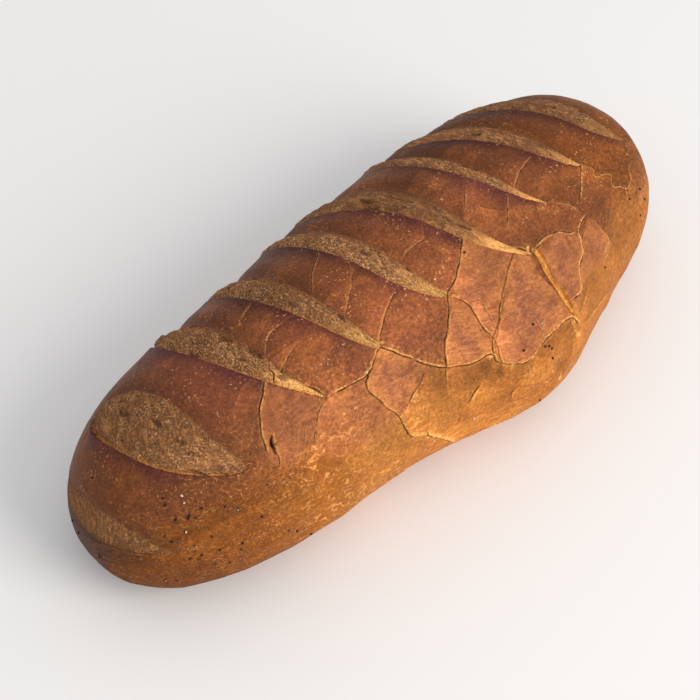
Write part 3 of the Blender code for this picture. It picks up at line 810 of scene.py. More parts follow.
# %% Small flakes that curl up where tears meet
FLAKES = (
    (8, -59), (16, -67), (12, -64), (25, -68), (56, -65), (56, -68), (57, -77), (49, -28),
    (55, -32), (8, -28), (-32, -31), (-46, -38), (-31, -86), (10, -103), (6, -103), (40, -91),
)
FLAKE_SIZE = (1.7, 0.7)
FLAKE_RISE = 0.45
FLAKE_TURN = 0.9  # each one is turned this much further
FLAKE_PALE = 1.4
for number, place in enumerate(FLAKES):
    away = flat_place - flat([place])
    cosine, sine = math.cos(FLAKE_TURN * number), math.sin(FLAKE_TURN * number)
    across = away @ np.array([[cosine, -sine], [sine, cosine]])
    flake = np.exp(-((across / FLAKE_SIZE) ** 2).sum(axis=1))
    height += FLAKE_RISE * flake
    tear_rim = np.maximum(tear_rim, np.clip(FLAKE_PALE * flake, 0, 1) * (1 - 0.7 * tear_shade))
print(len(FLAKES), "flakes")

# %% [markdown]
# The dough tore in the slashes, so their floors are rough: drawn-out threads, lumps, grain, and deep pits
# that lie along the slash. The crust has only slow waves, with stronger ones low on the front.

# %% Noise of the torn floors
THREAD_STRETCH = np.array([1.0, 3.2, 1.0])
THREAD_HEIGHT = 0.42
LUMP_HEIGHT = 0.32
GRAIN_HEIGHT = 0.15
PIT_DEPTH = 0.9
PIT_EDGE = (0.40, 0.60)  # the noise's values between which a pit gets deep
END_PITS = 0.3  # the first slash has only this share of pits
thread_place = bed_place / THREAD_STRETCH
threads = rough(thread_place, 1.9, 5, octaves=3)
lumps = rough(base, 4.5, 12)
grain = rough(base, 1.6, 6)
pits = smoothstep(*PIT_EDGE, rough(thread_place, 2.8, 7)) * np.where(slash_number == 0, END_PITS, 1.0)
torn = THREAD_HEIGHT * threads + LUMP_HEIGHT * lumps + GRAIN_HEIGHT * grain - PIT_DEPTH * pits
height += bed * torn * smoothstep(-0.2, 1.2, bed_inside)
print("the torn floors go from", torn.min().round(1), "to", torn.max().round(1), "mm")

# %% Slow waves of the crust
WAVES = ((0.45, 28.0, 1), (0.14, 8.0, 2), (0.05, 2.5, 10))  # height, size and seed
FRONT_WAVE = (0.55, 10.0, 13)
FRONT_WAVE_BEGINS = (-38, -62)  # degrees
uneven = sum(tall * rough(base, size, seed) for tall, size, seed in WAVES)
front_low = smoothstep(*FRONT_WAVE_BEGINS, degrees)
front_uneven = FRONT_WAVE[0] * front_low * rough(base, FRONT_WAVE[1], FRONT_WAVE[2])
height += (1 - bed) * (uneven + front_uneven)
print("waves of the crust:", uneven.min().round(2), "to", uneven.max().round(2), "mm")

# %% [markdown]
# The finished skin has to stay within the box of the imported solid, or the part would be bigger than it
# says. The relief pushes it out by a few tenths of a millimetre in places, so the whole skin is squeezed by
# that little, and the base is laid flat.

# %% Set the skin inside the solid's box
SEED_ROOM = np.array([0.6, 0.3, 0.1])  # left free on every side for the seeds that lie on the skin
points = base + height[:, None] * normal
points[:, 2] = np.maximum(points[:, 2], 0.0)
points = points + STEP
low, high = points.min(axis=0), points.max(axis=0)
inner_low, inner_high = np.maximum(low, cad_low + SEED_ROOM), np.minimum(high, cad_high - SEED_ROOM)
inner_low[2] = 0.0
points = inner_low + (points - low) * (inner_high - inner_low) / (high - low)
print("squeezed by, mm:", ((high - low) - (inner_high - inner_low)).round(2))
mesh.vertices.foreach_set("co", (points * MM).astype(np.float32).ravel())

# %% [markdown]
# Each stretch of crust between two slashes baked its own way, and not evenly. No noise knows that, so it is
# written down: how pale a stretch is on the crown, on the slope to the front and on the front, and where
# single pale or dark patches lie.

# %% How pale each stretch between two slashes baked
CROWN_LIGHT = (1.07, 1.08, 1.05, 0.97, 1.12, 1.34, 0.82, 0.84, 0.87)
SLOPE_LIGHT = (0.98, 1.01, 1.15, 1.55, 1.52, 1.24, 1.25, 1.10, 0.97)
FRONT_LIGHT = (0.93, 1.29, 1.02, 1.15, 0.91, 0.84, 0.76, 0.85, 0.86)
SLOPE_BEGINS = (4, -14)  # degrees over which the crown's tone becomes the slope's
FRONT_BEGINS = (-26, -46)  # and the slope's becomes the front's


def by_panel(values):
    """Nine values, one for each stretch, as a value at every vertex that changes over in the slashes."""
    middles = [slash_lens(slash, around)[0] for slash in SLASHES] + [FAR_TIP]
    passed = sum(np.clip((along - low) / (high - low), 0, 1) for low, high in zip(middles, middles[1:]))
    places = [number + share for number in range(len(values)) for share in (0.25, 0.75)]
    return np.interp(passed, places, np.repeat(values, 2))


on_slope, on_front = smoothstep(*SLOPE_BEGINS, degrees), smoothstep(*FRONT_BEGINS, degrees)
panel_light = (1 - on_slope) * by_panel(CROWN_LIGHT) + on_slope * (1 - on_front) * by_panel(SLOPE_LIGHT)
panel_light += on_front * by_panel(FRONT_LIGHT)
print(f"stretches are {panel_light.min():.2f} to {panel_light.max():.2f} times as light as the plain skin")

# %% Pale and dark patches: along, around, radius, and how much paler than its stretch
PATCHES = (
    (-173, -46, 8.0, -0.12), (-132, -24, 6.0, 0.26), (-84, -64, 12.0, 0.12), (-74, -17, 6.0, 0.28),
    (-63, -40, 8.0, 0.35), (-62, -3, 8.0, 0.18), (-59, 21, 13.0, -0.32), (-59, -34, 6.0, -0.24),
    (-49, -71, 10.0, -0.26), (-30, -32, 5.0, 0.50), (-27, -48, 6.0, -0.30), (-25, -27, 7.0, 0.14),
    (-23, -68, 9.0, -0.28), (-21, -99, 10.0, 0.32), (-18, -83, 9.0, -0.26), (-15, -58, 7.0, -0.16),
    (-16, 34, 11.0, -0.15), (-10, 5, 5.0, 0.20), (-5, -51, 5.0, 0.22), (6, -12, 6.0, 0.24),
    (14, -38, 3.5, 0.30), (14, -24, 7.0, 0.38), (15, -58, 6.0, 0.40), (18, 18, 10.0, -0.14),
    (18, -49, 5.0, 0.20), (34, -28, 9.0, -0.30), (35, -14, 6.0, -0.20), (47, -23, 4.0, 0.22),
    (46, 20, 11.0, -0.48), (48, -52, 6.0, -0.20), (42, 42, 12.0, -0.28), (56, -4, 12.0, 0.20),
    (60, -27, 10.0, -0.42), (77, -14, 6.0, 0.36), (77, -52, 8.0, -0.18), (86, -29, 12.0, -0.30),
    (88, 44, 14.0, 0.22), (99, -28, 9.0, -0.22), (120, 20, 14.0, -0.12),
)
patch_light = np.ones(count)
for patch_along, patch_around, radius, paler in PATCHES:
    away = np.linalg.norm(flat_place - flat([(patch_along, patch_around)]), axis=1)
    patch_light += paler * np.exp(-((away / radius) ** 2))
print(len(PATCHES), "patches")

# %% [markdown]
# Patterns are drawn on places along and around the crust. At both tips and under the loaf those places
# bunch up or meet from two sides, and a pattern would show a hard edge. So a mask, settled, is 1 on all
# that is usually seen and fades to 0 there, and the patterns on those places fade with it. The other masks
# say where the front and the sides begin and where each finish of the skin shows.

# %% Where the patterns settle, and where the sides and the front begin
TIP_FADE = 16.0  # millimetres from a tip
UNDERSIDE_FADE = (180, 125)  # degrees either way from the crest
from_tip = np.minimum(along - NEAR_TIP, FAR_TIP - along)
settled = smoothstep(*UNDERSIDE_FADE, np.abs(degrees)) * smoothstep(0, TIP_FADE, from_tip)
side = np.where(degrees < 0, smoothstep(-36, -78, degrees), smoothstep(72, 112, degrees))
side = side * settled + (0.6 + 0.4 * smoothstep(125, 180, np.abs(degrees))) * (1 - settled)
front = smoothstep(-8, -34, degrees) * settled
near_end = smoothstep(-84, -136, along)
print(f"patterns show in full on {(settled > 0.99).mean():.2f} of the vertices")

# %% Where scratches, wrinkles, stripes and the low gold show
scratched = smoothstep(-62, -112, along) * (0.25 + 0.75 * smoothstep(0, -45, degrees)) * settled
wrinkled = smoothstep(-40, -54, degrees) * smoothstep(-20, -38, along) * smoothstep(-118, -88, along)
wrinkled = wrinkled * settled
low_striped = smoothstep(-78, -100, degrees)
far_striped = smoothstep(84, 112, along) * smoothstep(-35, -60, degrees)
striped = np.maximum(np.maximum(low_striped, far_striped), 0.6 * side) * settled
low_gold = smoothstep(-38, -58, degrees) * smoothstep(-55, -85, along) * settled
print("share scratched, wrinkled, striped and golden:",
      [round(float((mask > 0.5).mean()), 2) for mask in (scratched, wrinkled, striped, low_gold)])

# %% How strongly each slash shows, the plum and painted shade next to its lip, and the painted shade at its crease
FIRST_FAINT = 0.92
SECOND_CLOSES = (58, 42)  # degrees at the back between which the second slash closes
LAST_FAINT = 0.4  # how much fainter the last slash gets towards the front
LIP_SHADE_REACH = 7.0
CREASE_SHADE_REACH = 4.0
faint = np.where(slash_number == 1, smoothstep(*SECOND_CLOSES, degrees), 1.0)
faint = np.where(slash_number == 0, FIRST_FAINT, faint)
faint = np.where(slash_number == 8, 1 - LAST_FAINT * smoothstep(-4, -24, degrees), faint)
first_slash_aside = (along - NEAR_TIP) * np.sin(around)
open_slash = np.where(slash_number == 1, 0.12, 1.0)
open_slash = np.where(slash_number == 0, 0.3 * smoothstep(-6, -30, first_slash_aside), open_slash)
# next to a lip the crust is plum, partly a deeper bake and partly painted shade
lip_shade = np.where(slash_number == 0, 0.4, 1.0) * np.exp(-lip_gap / LIP_SHADE_REACH) * (1 - bed)
lip_shade *= 1 - 0.5 * smoothstep(-14, -34, degrees)
# painted shade at each crease, where the next stretch of crust rises from the floor
crease_shade = np.exp(-crease_gap / CREASE_SHADE_REACH) * (1 - bed)
print("lips shade", int((lip_shade > 0.5).sum()), "vertices, creases", int((crease_shade > 0.5).sum()))

# %% What makes the skin darker in places, and its tint
BACK_SHADE = 0.22  # the crown's back is darker by this share
BELOW_FIRST_SHADE = 0.55  # so is the skin below the first slash
BELOW_FIRST_LIFT = 0.20  # but by this much less on the low front
NEAR_FRONT_SHADE = 0.20  # and the low front of the near end
MIDDLE_FRONT_LIFT = 0.17  # the low front is lighter by this share from the middle on
DENT_SHADE = 0.4  # and the dents
panel_light *= 1 - BACK_SHADE * smoothstep(8, 32, degrees) * smoothstep(-150, -120, along)
below_first_slash = smoothstep(0, -9, end_slash_profile(along, around)[3]) * smoothstep(-120, -150, along)
below_first_shade = BELOW_FIRST_SHADE - BELOW_FIRST_LIFT * smoothstep(-60, -74, degrees)
panel_light *= 1 - below_first_slash * below_first_shade
near_front = smoothstep(-46, -60, degrees) * smoothstep(-88, -104, along) * (1 - below_first_slash)
panel_light *= 1 - NEAR_FRONT_SHADE * near_front
panel_light *= 1 + MIDDLE_FRONT_LIFT * smoothstep(-60, -78, degrees) * smoothstep(-18, -4, along)
panel_light *= 1 - DENT_SHADE * dented
unsettled_light = 0.52 + 0.36 * smoothstep(-190, -120, along)
panel_light = panel_light * settled + unsettled_light * (1 - settled)
tint = smoothstep(55, 150, along) * smoothstep(-68, -42, degrees)  # above 0 yellower, below 0 cooler
tint -= np.exp(-(((along + 105) / 24) ** 2)) * (1 - front) + 0.7 * below_first_slash
tint *= settled
print("the skin's light goes from", panel_light.min().round(2), "to", panel_light.max().round(2))

# %% How coarse the grain is
GRAIN_PLACES = (-150, -108, -65, -25, 15, 50, 85, 120, 160)  # along
PANEL_GRAIN = (0.16, 0.15, 0.36, 0.32, 0.34, 0.28, 0.16, 0.32, 0.44)
FRONT_GRAIN = 0.22  # the front is at least this coarse
panel_grain = np.interp(along, GRAIN_PLACES, PANEL_GRAIN)
panel_grain = np.maximum(panel_grain, FRONT_GRAIN * front * (1 - near_end))
panel_grain = panel_grain * (1 - bed) + bed_grain * bed
print("mean grain", panel_grain.mean().round(2))

# %% [markdown]
# A material can read a value that is kept on the mesh, as an attribute. That is how it knows what no noise
# could tell it: where the slashes, the tears and the plates are. Painting them on a picture would need a
# picture as fine as the tears, and attributes are only as fine as the faces, which are fine there already.

# %% Keep on the mesh what the colours need
LIP_DISTANCE_KEPT = 20.0


def keep(name, values):
    """A float attribute on every vertex."""
    layer = mesh.attributes.new(name, "FLOAT", "POINT")
    layer.data.foreach_set("value", values.astype(np.float32))


def keep_place(name, values):
    """A vector attribute on every vertex."""
    layer = mesh.attributes.new(name, "FLOAT_VECTOR", "POINT")
    layer.data.foreach_set("vector", values.astype(np.float32).ravel())


kept = {
    "settled": settled,
    "bed": bed * faint,
    "bed_across": bed_across * np.array(BED_FAR_SHADE)[slash_number],
    "bed_pits": bed * pits,
    "from_lip": np.clip(from_lip, 0, LIP_DISTANCE_KEPT),
    "lip": lip_shade,
    "crease": crease_shade,
    "front_tip": smoothstep(10, -30, degrees) * open_slash,
    "tear_shade": tear_shade,
    "tear_rim": tear_rim,
    "opening": opening,
    "tear_side_light_shade": np.clip(tear_side_light_shade, -1, 1),
    "plate": plate,
    "plate_inner": plate_inner,
    "side": side * (1 - 0.75 * near_end),
    "front": front,
    "panel_grain": panel_grain,
    "low_gold": low_gold,
    "tint": tint,
    "near_end": near_end,
    "scratched": scratched,
    "wrinkled": wrinkled,
    "striped": striped,
    "panel_light": panel_light,
    "patch_light": patch_light,
    "plate_light": plate_light,
    "bed_light": bed_light,
    "threaded": bed_threaded,
}
for name, values in kept.items():
    keep(name, values)
keep_place("crust_place", crust_place)
keep_place("bed_place", bed_place)
print("kept", len(kept), "values and 2 places on every vertex")

# %% The crust as a piece that takes the solid's place
mesh.shade_smooth()
mesh.update()
crust = bpy.data.objects.new("crust", mesh)
bpy.context.scene.collection.objects.link(crust)
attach(crust, "root")
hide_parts("loaf")
print("crust height from", height.min().round(2), "to", height.max().round(2), "mm")

# %% [markdown]
# Materials are built from nodes. A few helpers keep the long ones short: one adds a node and fills its
# sockets, and the others mix colours, read an attribute, make noise, or turn a value into a soft step.

# %% Node helpers
def linear(red, green, blue):
    """A colour seen on screen, 0 to 255, as the linear values that shaders use."""
    values = [channel / 255 for channel in (red, green, blue)]
    return tuple(v / 12.92 if v <= 0.04045 else ((v + 0.055) / 1.055) ** 2.4 for v in values) + (1.0,)


class Nodes:
    """One material's node tree, with short ways to add to it."""

    def __init__(self, name):
        self.material = bpy.data.materials.new(name)
        self.material.use_nodes = True
        self.tree = self.material.node_tree
        self.shader = self.tree.nodes["Principled BSDF"]

    def add(self, kind, output=0, **sockets):
        """A node of a kind. Its sockets, by name or as i0, i1 and so on, get values or other nodes' outputs.
        Settings that aren't sockets start with set_."""
        made = self.tree.nodes.new("ShaderNode" + kind)
        for key, value in sockets.items():
            if key.startswith("set_"):
                setattr(made, key[4:], value)
        for key, value in sockets.items():
            if key.startswith("set_"):
                continue
            socket = made.inputs[int(key[1:])] if key[0] == "i" and key[1:].isdigit() else made.inputs[key]
            self.feed(socket, value)
        return made.outputs[output]

    def feed(self, socket, value):
        """Gives a socket another node's output, or else a plain value."""
        if isinstance(value, bpy.types.NodeSocket):
            self.tree.links.new(value, socket)
        else:
            socket.default_value = value

    def attribute(self, name):
        """A value that is kept on the mesh."""
        return self.add("Attribute", output=2, set_attribute_name=name)

    def place(self, name):
        """A place that is kept on the mesh."""
        return self.add("Attribute", output=1, set_attribute_name=name)

    def maths(self, operation, first, second=0.0):
        """Two values, added, multiplied and so on."""
        return self.add("Math", set_operation=operation, i0=first, i1=second)

    def mix(self, share, first, second, blend="MIX"):
        """Two colours, blended by a share. Sockets 6 and 7 of the node are its colours."""
        made = self.tree.nodes.new("ShaderNodeMix")
        made.data_type = "RGBA"
        made.blend_type = blend
        self.feed(made.inputs[0], share)
        self.feed(made.inputs[6], first)
        self.feed(made.inputs[7], second)
        return made.outputs[2]

    def step(self, value, low, high, to_low=0.0, to_high=1.0):
        """A soft step from to_low to to_high as value goes from low to high."""
        return self.add("MapRange", set_interpolation_type="SMOOTHSTEP", i0=value, i1=low, i2=high,
                        i3=to_low, i4=to_high)

    def noise(self, where, scale, detail=3.0, rough=0.55, warp=0.0):
        """Soft noise, 0 to 1, that gets finer with a greater scale."""
        return self.add("TexNoise", Vector=where, Scale=scale, Detail=detail, Roughness=rough,
                        Distortion=warp)

    def nudged(self, where, scale, reach):
        """Coordinates moved by up to about the reach, so that straight patterns wander."""
        push = self.add("TexNoise", output=1, Vector=where, Scale=scale, Detail=2.0)
        push = self.add("VectorMath", set_operation="SUBTRACT", i0=push, i1=(0.5, 0.5, 0.5))
        push = self.add("VectorMath", set_operation="MULTIPLY", i0=push, i1=(2 * reach,) * 3)
        return self.add("VectorMath", set_operation="ADD", i0=where, i1=push)

    def scaled_by(self, value, amount):
        """1 plus the amount times the value, for making a colour lighter or darker."""
        return self.add("Math", set_operation="MULTIPLY_ADD", i0=value, i1=amount, i2=1.0)

    def level_lines(self, where, turns, width):
        """Thin wandering lines, 1 on a line and 0 between: the level lines of soft noise."""
        level = self.maths("FRACT", self.maths("MULTIPLY", self.noise(where, 1.0, detail=2.0), turns))
        return self.step(self.maths("ABSOLUTE", self.maths("SUBTRACT", level, 0.5)), 0.0, width, 1.0, 0.0)

    def grey(self, value):
        """A value as a colour."""
        return self.add("CombineColor", i0=value, i1=value, i2=value)

    def stretched(self, where, sizes):
        """Coordinates divided by a size on each axis."""
        return self.add("Mapping", Vector=where, Scale=tuple(1 / size for size in sizes))


print("half bright on screen is", round(linear(128, 128, 128)[0], 2), "for a shader")

# %% [markdown]
# The crust's colour comes in layers: as in the oven, a golden base, darker and redder where the heat hit the
# crown, and gold low on the near end; next to the lips a plum that is partly a deeper bake and partly painted
# shade, and painted shade at the creases. Noise sways every border between two layers. A photograph laid over
# the loaf would bring its light and shadow with it and fit only one view, so every colour is mixed from
# nodes. Patterns use object coordinates in metres, or the place on the crust in millimetres.

# %% Layers of the baked skin
GOLDEN = linear(172, 104, 43)
PALE_GOLDEN = linear(184, 115, 49)
CROWN = linear(124, 68, 38)
PALE_CROWN = linear(160, 92, 46)
NEAR_END_BROWN = linear(104, 56, 28)
LOW_GOLD = linear(136, 74, 12)
PLUM_AND_SHADE = linear(88, 42, 36)
PAINTED_CREASE_SHADE = linear(96, 56, 32)
PATCH_BORDER = linear(196, 124, 66)
PATCH_SIZE = (34.0, 15.0, 1.0)


def skin_layers(m, here, place, mottle):
    """The colour of the skin, and how much of each place is side and not crown."""
    side, lip, near_end, settled = (m.attribute(name) for name in ("side", "lip", "near_end", "settled"))
    broad = m.noise(here, 28.0, detail=4.0)
    side = m.step(m.maths("ADD", side, m.step(broad, 0.3, 0.7, -0.22, 0.22)), 0.0, 1.0)
    patch_place = m.nudged(m.stretched(place, PATCH_SIZE), 1.2, 0.12)
    patches = m.add("TexVoronoi", output=1, Vector=patch_place, Scale=1.0)
    tone = m.add("Mix", i0=settled, i2=0.5, i3=m.add("SeparateColor", i0=patches))
    golden = m.mix(m.step(tone, 0.3, 0.7), GOLDEN, PALE_GOLDEN)
    colour = m.mix(side, CROWN, golden)
    crown = m.maths("SUBTRACT", 1.0, side)
    lighter = m.maths("MULTIPLY", m.step(tone, 0.35, 1.0, 0.0, 0.75), m.step(mottle, 0.3, 0.7, 0.5, 1.0))
    colour = m.mix(m.maths("MULTIPLY", lighter, crown), colour, PALE_CROWN)
    colour = m.mix(m.maths("MULTIPLY", near_end, 0.7), colour, NEAR_END_BROWN)
    colour = m.mix(m.maths("MULTIPLY", m.attribute("low_gold"), 0.65), colour, LOW_GOLD)
    # plum next to the lips: partly a deeper bake, partly painted shade
    plum_and_shade = m.step(m.maths("ADD", lip, m.step(broad, 0.35, 0.65, -0.2, 0.2)), 0.12, 0.95)
    plum_and_shade = m.maths("MULTIPLY", plum_and_shade, m.maths("SUBTRACT", 1.0, m.maths("MULTIPLY", side, 0.8)))
    colour = m.mix(plum_and_shade, colour, PLUM_AND_SHADE)
    # painted shade at the creases
    colour = m.mix(m.maths("MULTIPLY", m.attribute("crease"), 0.5), colour, PAINTED_CREASE_SHADE)
    border = m.add("TexVoronoi", set_feature="DISTANCE_TO_EDGE", Vector=patch_place, Scale=1.0)
    border = m.maths("MULTIPLY", m.step(border, 0.001, 0.008, 0.2, 0.0), m.step(broad, 0.50, 0.62))
    return m.mix(m.maths("MULTIPLY", border, settled), colour, PATCH_BORDER), side


print("pale golden is", round(PALE_GOLDEN[0] / GOLDEN[0], 2), "times as bright as golden")

# %% [markdown]
# Over those layers lie finer marks. Fine pale scratches cross the near end, the low front wrinkled as it
# dried, and small pale specks lie everywhere. Scratches and specks are noise that is cut off to thin marks,
# and wrinkles are the level lines of soft noise, which is less work than drawing them and never repeats.

# %% Scratches, wrinkles and specks
SCRATCH = linear(208, 142, 68)
WRINKLE = linear(232, 164, 94)
SPECK = linear(214, 154, 100)
SCRATCH_TURNS = (0.3, 1.1, 2.2)  # the directions of the fine scratches near the near end
SCRATCH_SIZE = (3.6, 0.42, 1.0)
SCRATCH_APART = 40.0  # moves each direction's noise, so that no two are alike
WRINKLE_SIZE = (14.0, 13.0, 1.0)


def scratched_over(m, place, colour):
    """A colour with fine scratches over it, in three directions."""
    for turn in SCRATCH_TURNS:
        moved = (SCRATCH_APART * turn, 0.0, 0.0)
        turned = m.add("Mapping", Vector=place, Rotation=(0.0, 0.0, turn), Location=moved)
        turned = m.nudged(turned, 0.12, 1.6)
        scratches = m.step(m.noise(m.stretched(turned, SCRATCH_SIZE), 1.0, detail=1.0), 0.62, 0.72)
        in_patches = m.step(m.noise(turned, 0.10, detail=1.0), 0.40, 0.58, 0.15, 0.6)
        scratches = m.maths("MULTIPLY", scratches, in_patches)
        colour = m.mix(m.maths("MULTIPLY", scratches, m.attribute("scratched")), colour, SCRATCH)
    return colour


def wrinkle_lines(m, place, mottle):
    """Thin wandering wrinkles low on the near half of the front."""
    lines = m.level_lines(m.nudged(m.stretched(place, WRINKLE_SIZE), 1.5, 0.2), 8.0, 0.16)
    lines = m.maths("MULTIPLY", lines, m.step(mottle, 0.36, 0.52))
    return m.maths("MULTIPLY", lines, m.attribute("wrinkled"))


def specked_over(m, here, colour):
    """A colour with small pale specks over it, more in some places."""
    specks = m.step(m.noise(here, 760.0, detail=1.0), 0.64, 0.72)
    specks = m.maths("MULTIPLY", specks, m.step(m.noise(here, 75.0), 0.42, 0.60, 0.0, 0.6))
    return m.mix(specks, colour, SPECK)


print("scratches run in", len(SCRATCH_TURNS), "directions")

# %% [markdown]
# How light the skin is comes last, as one factor: the fine grain, the mottle, the painted light and shade on
# the two sides of a tear, stripes, and the listed light of each stretch. One factor for all of them keeps the
# colours from going grey.

# %% How light the skin is, and its tint
STRIPE_SIZE = (7.0, 0.9, 1.0)
YELLOWER = (1.0, 0.96, 0.5, 1.0)
COOLER = (1.04, 1.0, 1.3, 1.0)


def skin_light(m, place, side, mottle, fine):
    """How light the skin is at each place, around 1."""
    stripes = m.noise(m.stretched(place, STRIPE_SIZE), 1.0, detail=3.0)
    stripes = m.maths("MULTIPLY", m.step(stripes, 0.3, 0.7, -1.0, 1.0), m.attribute("striped"))
    light = m.scaled_by(m.step(fine, 0.2, 0.8, -1.0, 1.0), m.step(side, 0.0, 1.0, 0.24, 0.11))
    mottled = m.scaled_by(m.step(mottle, 0.25, 0.75, -1.0, 1.0), m.step(side, 0.0, 1.0, 0.16, 0.09))
    light = m.maths("MULTIPLY", light, mottled)
    # painted light on the raised side of each tear and painted shade on its low side
    light = m.maths("MULTIPLY", light, m.step(m.attribute("tear_side_light_shade"), -1.0, 1.0, 0.82, 1.18))
    light = m.maths("MULTIPLY", light, m.scaled_by(stripes, 0.2))
    return m.maths("MULTIPLY", light, m.attribute("panel_light"))


def crust_skin(m, here, place, mottle, fine, wrinkles):
    """The colour of the unbroken crust."""
    colour, side = skin_layers(m, here, place, mottle)
    colour = scratched_over(m, place, colour)
    colour = m.mix(m.maths("MULTIPLY", wrinkles, 0.5), colour, WRINKLE)
    colour = specked_over(m, here, colour)
    light = skin_light(m, place, side, mottle, fine)
    colour = m.mix(1.0, colour, m.grey(light), blend="MULTIPLY")
    tint = m.attribute("tint")
    colour = m.mix(m.step(tint, 0.0, 1.0), colour, YELLOWER, blend="MULTIPLY")
    return m.mix(m.step(tint, 0.0, -1.0), colour, COOLER, blend="MULTIPLY")


print("the yellower tint keeps", YELLOWER[2], "of the blue, the cooler one", COOLER[2])

# %% [markdown]
# The floors of the slashes are torn crumb, tan with pale flecks and brown threads, with painted shade in
# their pits. They open palest at the front ends, and a golden line lies right under each lip, where the thin
# edge baked. Fibres, crumbs and grit are three noises of different stretch, since one noise alone looks like
# felt.

# %% Colours of the torn floors
FIBRE_TURN = 0.45  # the fibres of a slash's floor run a little across it
FIBRE_SIZE = (1.5, 6.0, 1.0)
THREAD_SIZE = (0.5, 1.7, 1.0)
CRUMB_SIZE = (1.0, 1.3, 1.0)
FLOOR_DARK = linear(96, 60, 38)
FLOOR_TAN = linear(172, 114, 68)
FLOOR_CLOUD = linear(136, 86, 50)
FRONT_END_TAN = linear(216, 150, 84)
FRONT_END_PALE = linear(234, 174, 100)
CUT_FIBRE = linear(70, 48, 36)
DARK_CRUMB = linear(84, 54, 38)
PALE_CRUMB = linear(218, 162, 102)
FLECK = linear(246, 206, 152)
FLOOR_CREASE_SHADE = linear(122, 72, 42)
LIP_GOLD = linear(204, 132, 62)
PAINTED_PIT_SHADE = linear(64, 42, 28)


def floor_crumbs(m, colour, crumbs, grit, cloud, front_tip):
    """A floor's colour with dark and pale crumbs and flecks over it, fewer in clouds and at the front end."""
    clear = m.maths("MULTIPLY", m.step(cloud, 0.40, 0.62, 1.0, 0.35), m.step(front_tip, 0.3, 1.0, 1.0, 0.4))
    colour = m.mix(m.maths("MULTIPLY", m.step(crumbs, 0.46, 0.34, 0.0, 0.6), clear), colour, DARK_CRUMB)
    colour = m.mix(m.maths("MULTIPLY", m.step(crumbs, 0.52, 0.66, 0.0, 0.75), clear), colour, PALE_CRUMB)
    flecks = m.maths("MULTIPLY", m.step(grit, 0.53, 0.62), m.step(crumbs, 0.38, 0.56))
    flecks = m.maths("MULTIPLY", flecks, m.step(m.attribute("panel_grain"), 0.1, 0.5, 0.3, 1.0))
    return m.mix(m.maths("MULTIPLY", flecks, m.maths("MULTIPLY", clear, 0.9)), colour, FLECK)


def slash_floor(m, here, bed_place):
    """The colour of a slash's floor, its fibres and its grit."""
    across, front_tip = m.attribute("bed_across"), m.attribute("front_tip")
    turned = m.add("Mapping", Vector=bed_place, Rotation=(0.0, 0.0, FIBRE_TURN))
    fibres = m.noise(m.stretched(turned, FIBRE_SIZE), 0.8, detail=5.0, rough=0.7, warp=0.5)
    crumbs = m.noise(m.stretched(bed_place, CRUMB_SIZE), 0.85, detail=4.0, rough=0.75)
    threads = m.noise(m.stretched(turned, THREAD_SIZE), 1.0, detail=3.0, rough=0.7)
    grit = m.noise(here, 1250.0, detail=3.0, rough=0.75)
    grit = m.add("Mix", i0=m.attribute("threaded"), i2=grit, i3=threads)
    cloud = m.noise(bed_place, 0.13, detail=3.0)
    colour = m.mix(m.step(fibres, 0.34, 0.62), FLOOR_DARK, FLOOR_TAN)
    colour = m.mix(m.step(cloud, 0.40, 0.62, 0.0, 0.5), colour, FLOOR_CLOUD)
    colour = m.mix(m.step(front_tip, 0.2, 1.0, 0.0, 0.65), colour, FRONT_END_TAN)
    colour = m.mix(m.step(front_tip, 0.72, 0.96, 0.0, 0.6), colour, FRONT_END_PALE)
    cuts = m.step(m.maths("ABSOLUTE", m.maths("SUBTRACT", fibres, 0.5)), 0.0, 0.03, 0.75, 0.0)
    cuts = m.maths("MULTIPLY", cuts, m.step(m.maths("ABSOLUTE", across), 0.4, 0.85, 1.0, 0.2))
    colour = m.mix(cuts, colour, CUT_FIBRE)
    colour = floor_crumbs(m, colour, crumbs, grit, cloud, front_tip)
    # painted shade on each floor's far side, towards the crease
    colour = m.mix(m.step(across, 0.3, 1.0, 0.0, 0.8), colour, FLOOR_CREASE_SHADE)
    golden = m.step(m.attribute("from_lip"), 0.5, 2.2, 0.85, 0.0)
    colour = m.mix(m.maths("MULTIPLY", golden, m.step(cloud, 0.35, 0.6, 0.4, 1.0)), colour, LIP_GOLD)
    # painted shade in the floors' pits
    colour = m.mix(m.maths("MULTIPLY", m.attribute("bed_pits"), 0.6), colour, PAINTED_PIT_SHADE)
    return m.mix(1.0, colour, m.grey(m.attribute("bed_light")), blend="MULTIPLY"), fibres, grit


print("fibres are drawn out", FIBRE_SIZE[1] / FIBRE_SIZE[0], "times")

# %% [markdown]
# A lifted plate lost its gloss and is pinker than the crust around it, with ripples along the loaf and a
# darker middle. It gets a finish of its own, which the plates' mask lays over the skin.

# %% The plates' finish, and the grain of the crust
RIPPLE_TURN = 0.12  # the plates' ripples lie nearly along the loaf
RIPPLE_SIZE = (3.2, 1.1, 1.0)
RIPPLE_SCALE = 0.95
STREAK_SIZE = (2.6, 0.45, 1.0)
PLATE_BROWN = linear(164, 94, 56)
PLATE_TAN = linear(204, 126, 70)
PLATE_MIDDLE = linear(152, 90, 66)
RIPPLE_PALE = linear(222, 148, 88)
RIPPLE_DARK = linear(134, 76, 48)


def plate_ripples(m, place):
    """Soft ripples, 0 to 1, that lie nearly along the loaf."""
    turned = m.add("Mapping", Vector=place, Rotation=(0.0, 0.0, RIPPLE_TURN))
    return m.noise(m.stretched(turned, RIPPLE_SIZE), RIPPLE_SCALE, detail=3.0, rough=0.55, warp=1.2)


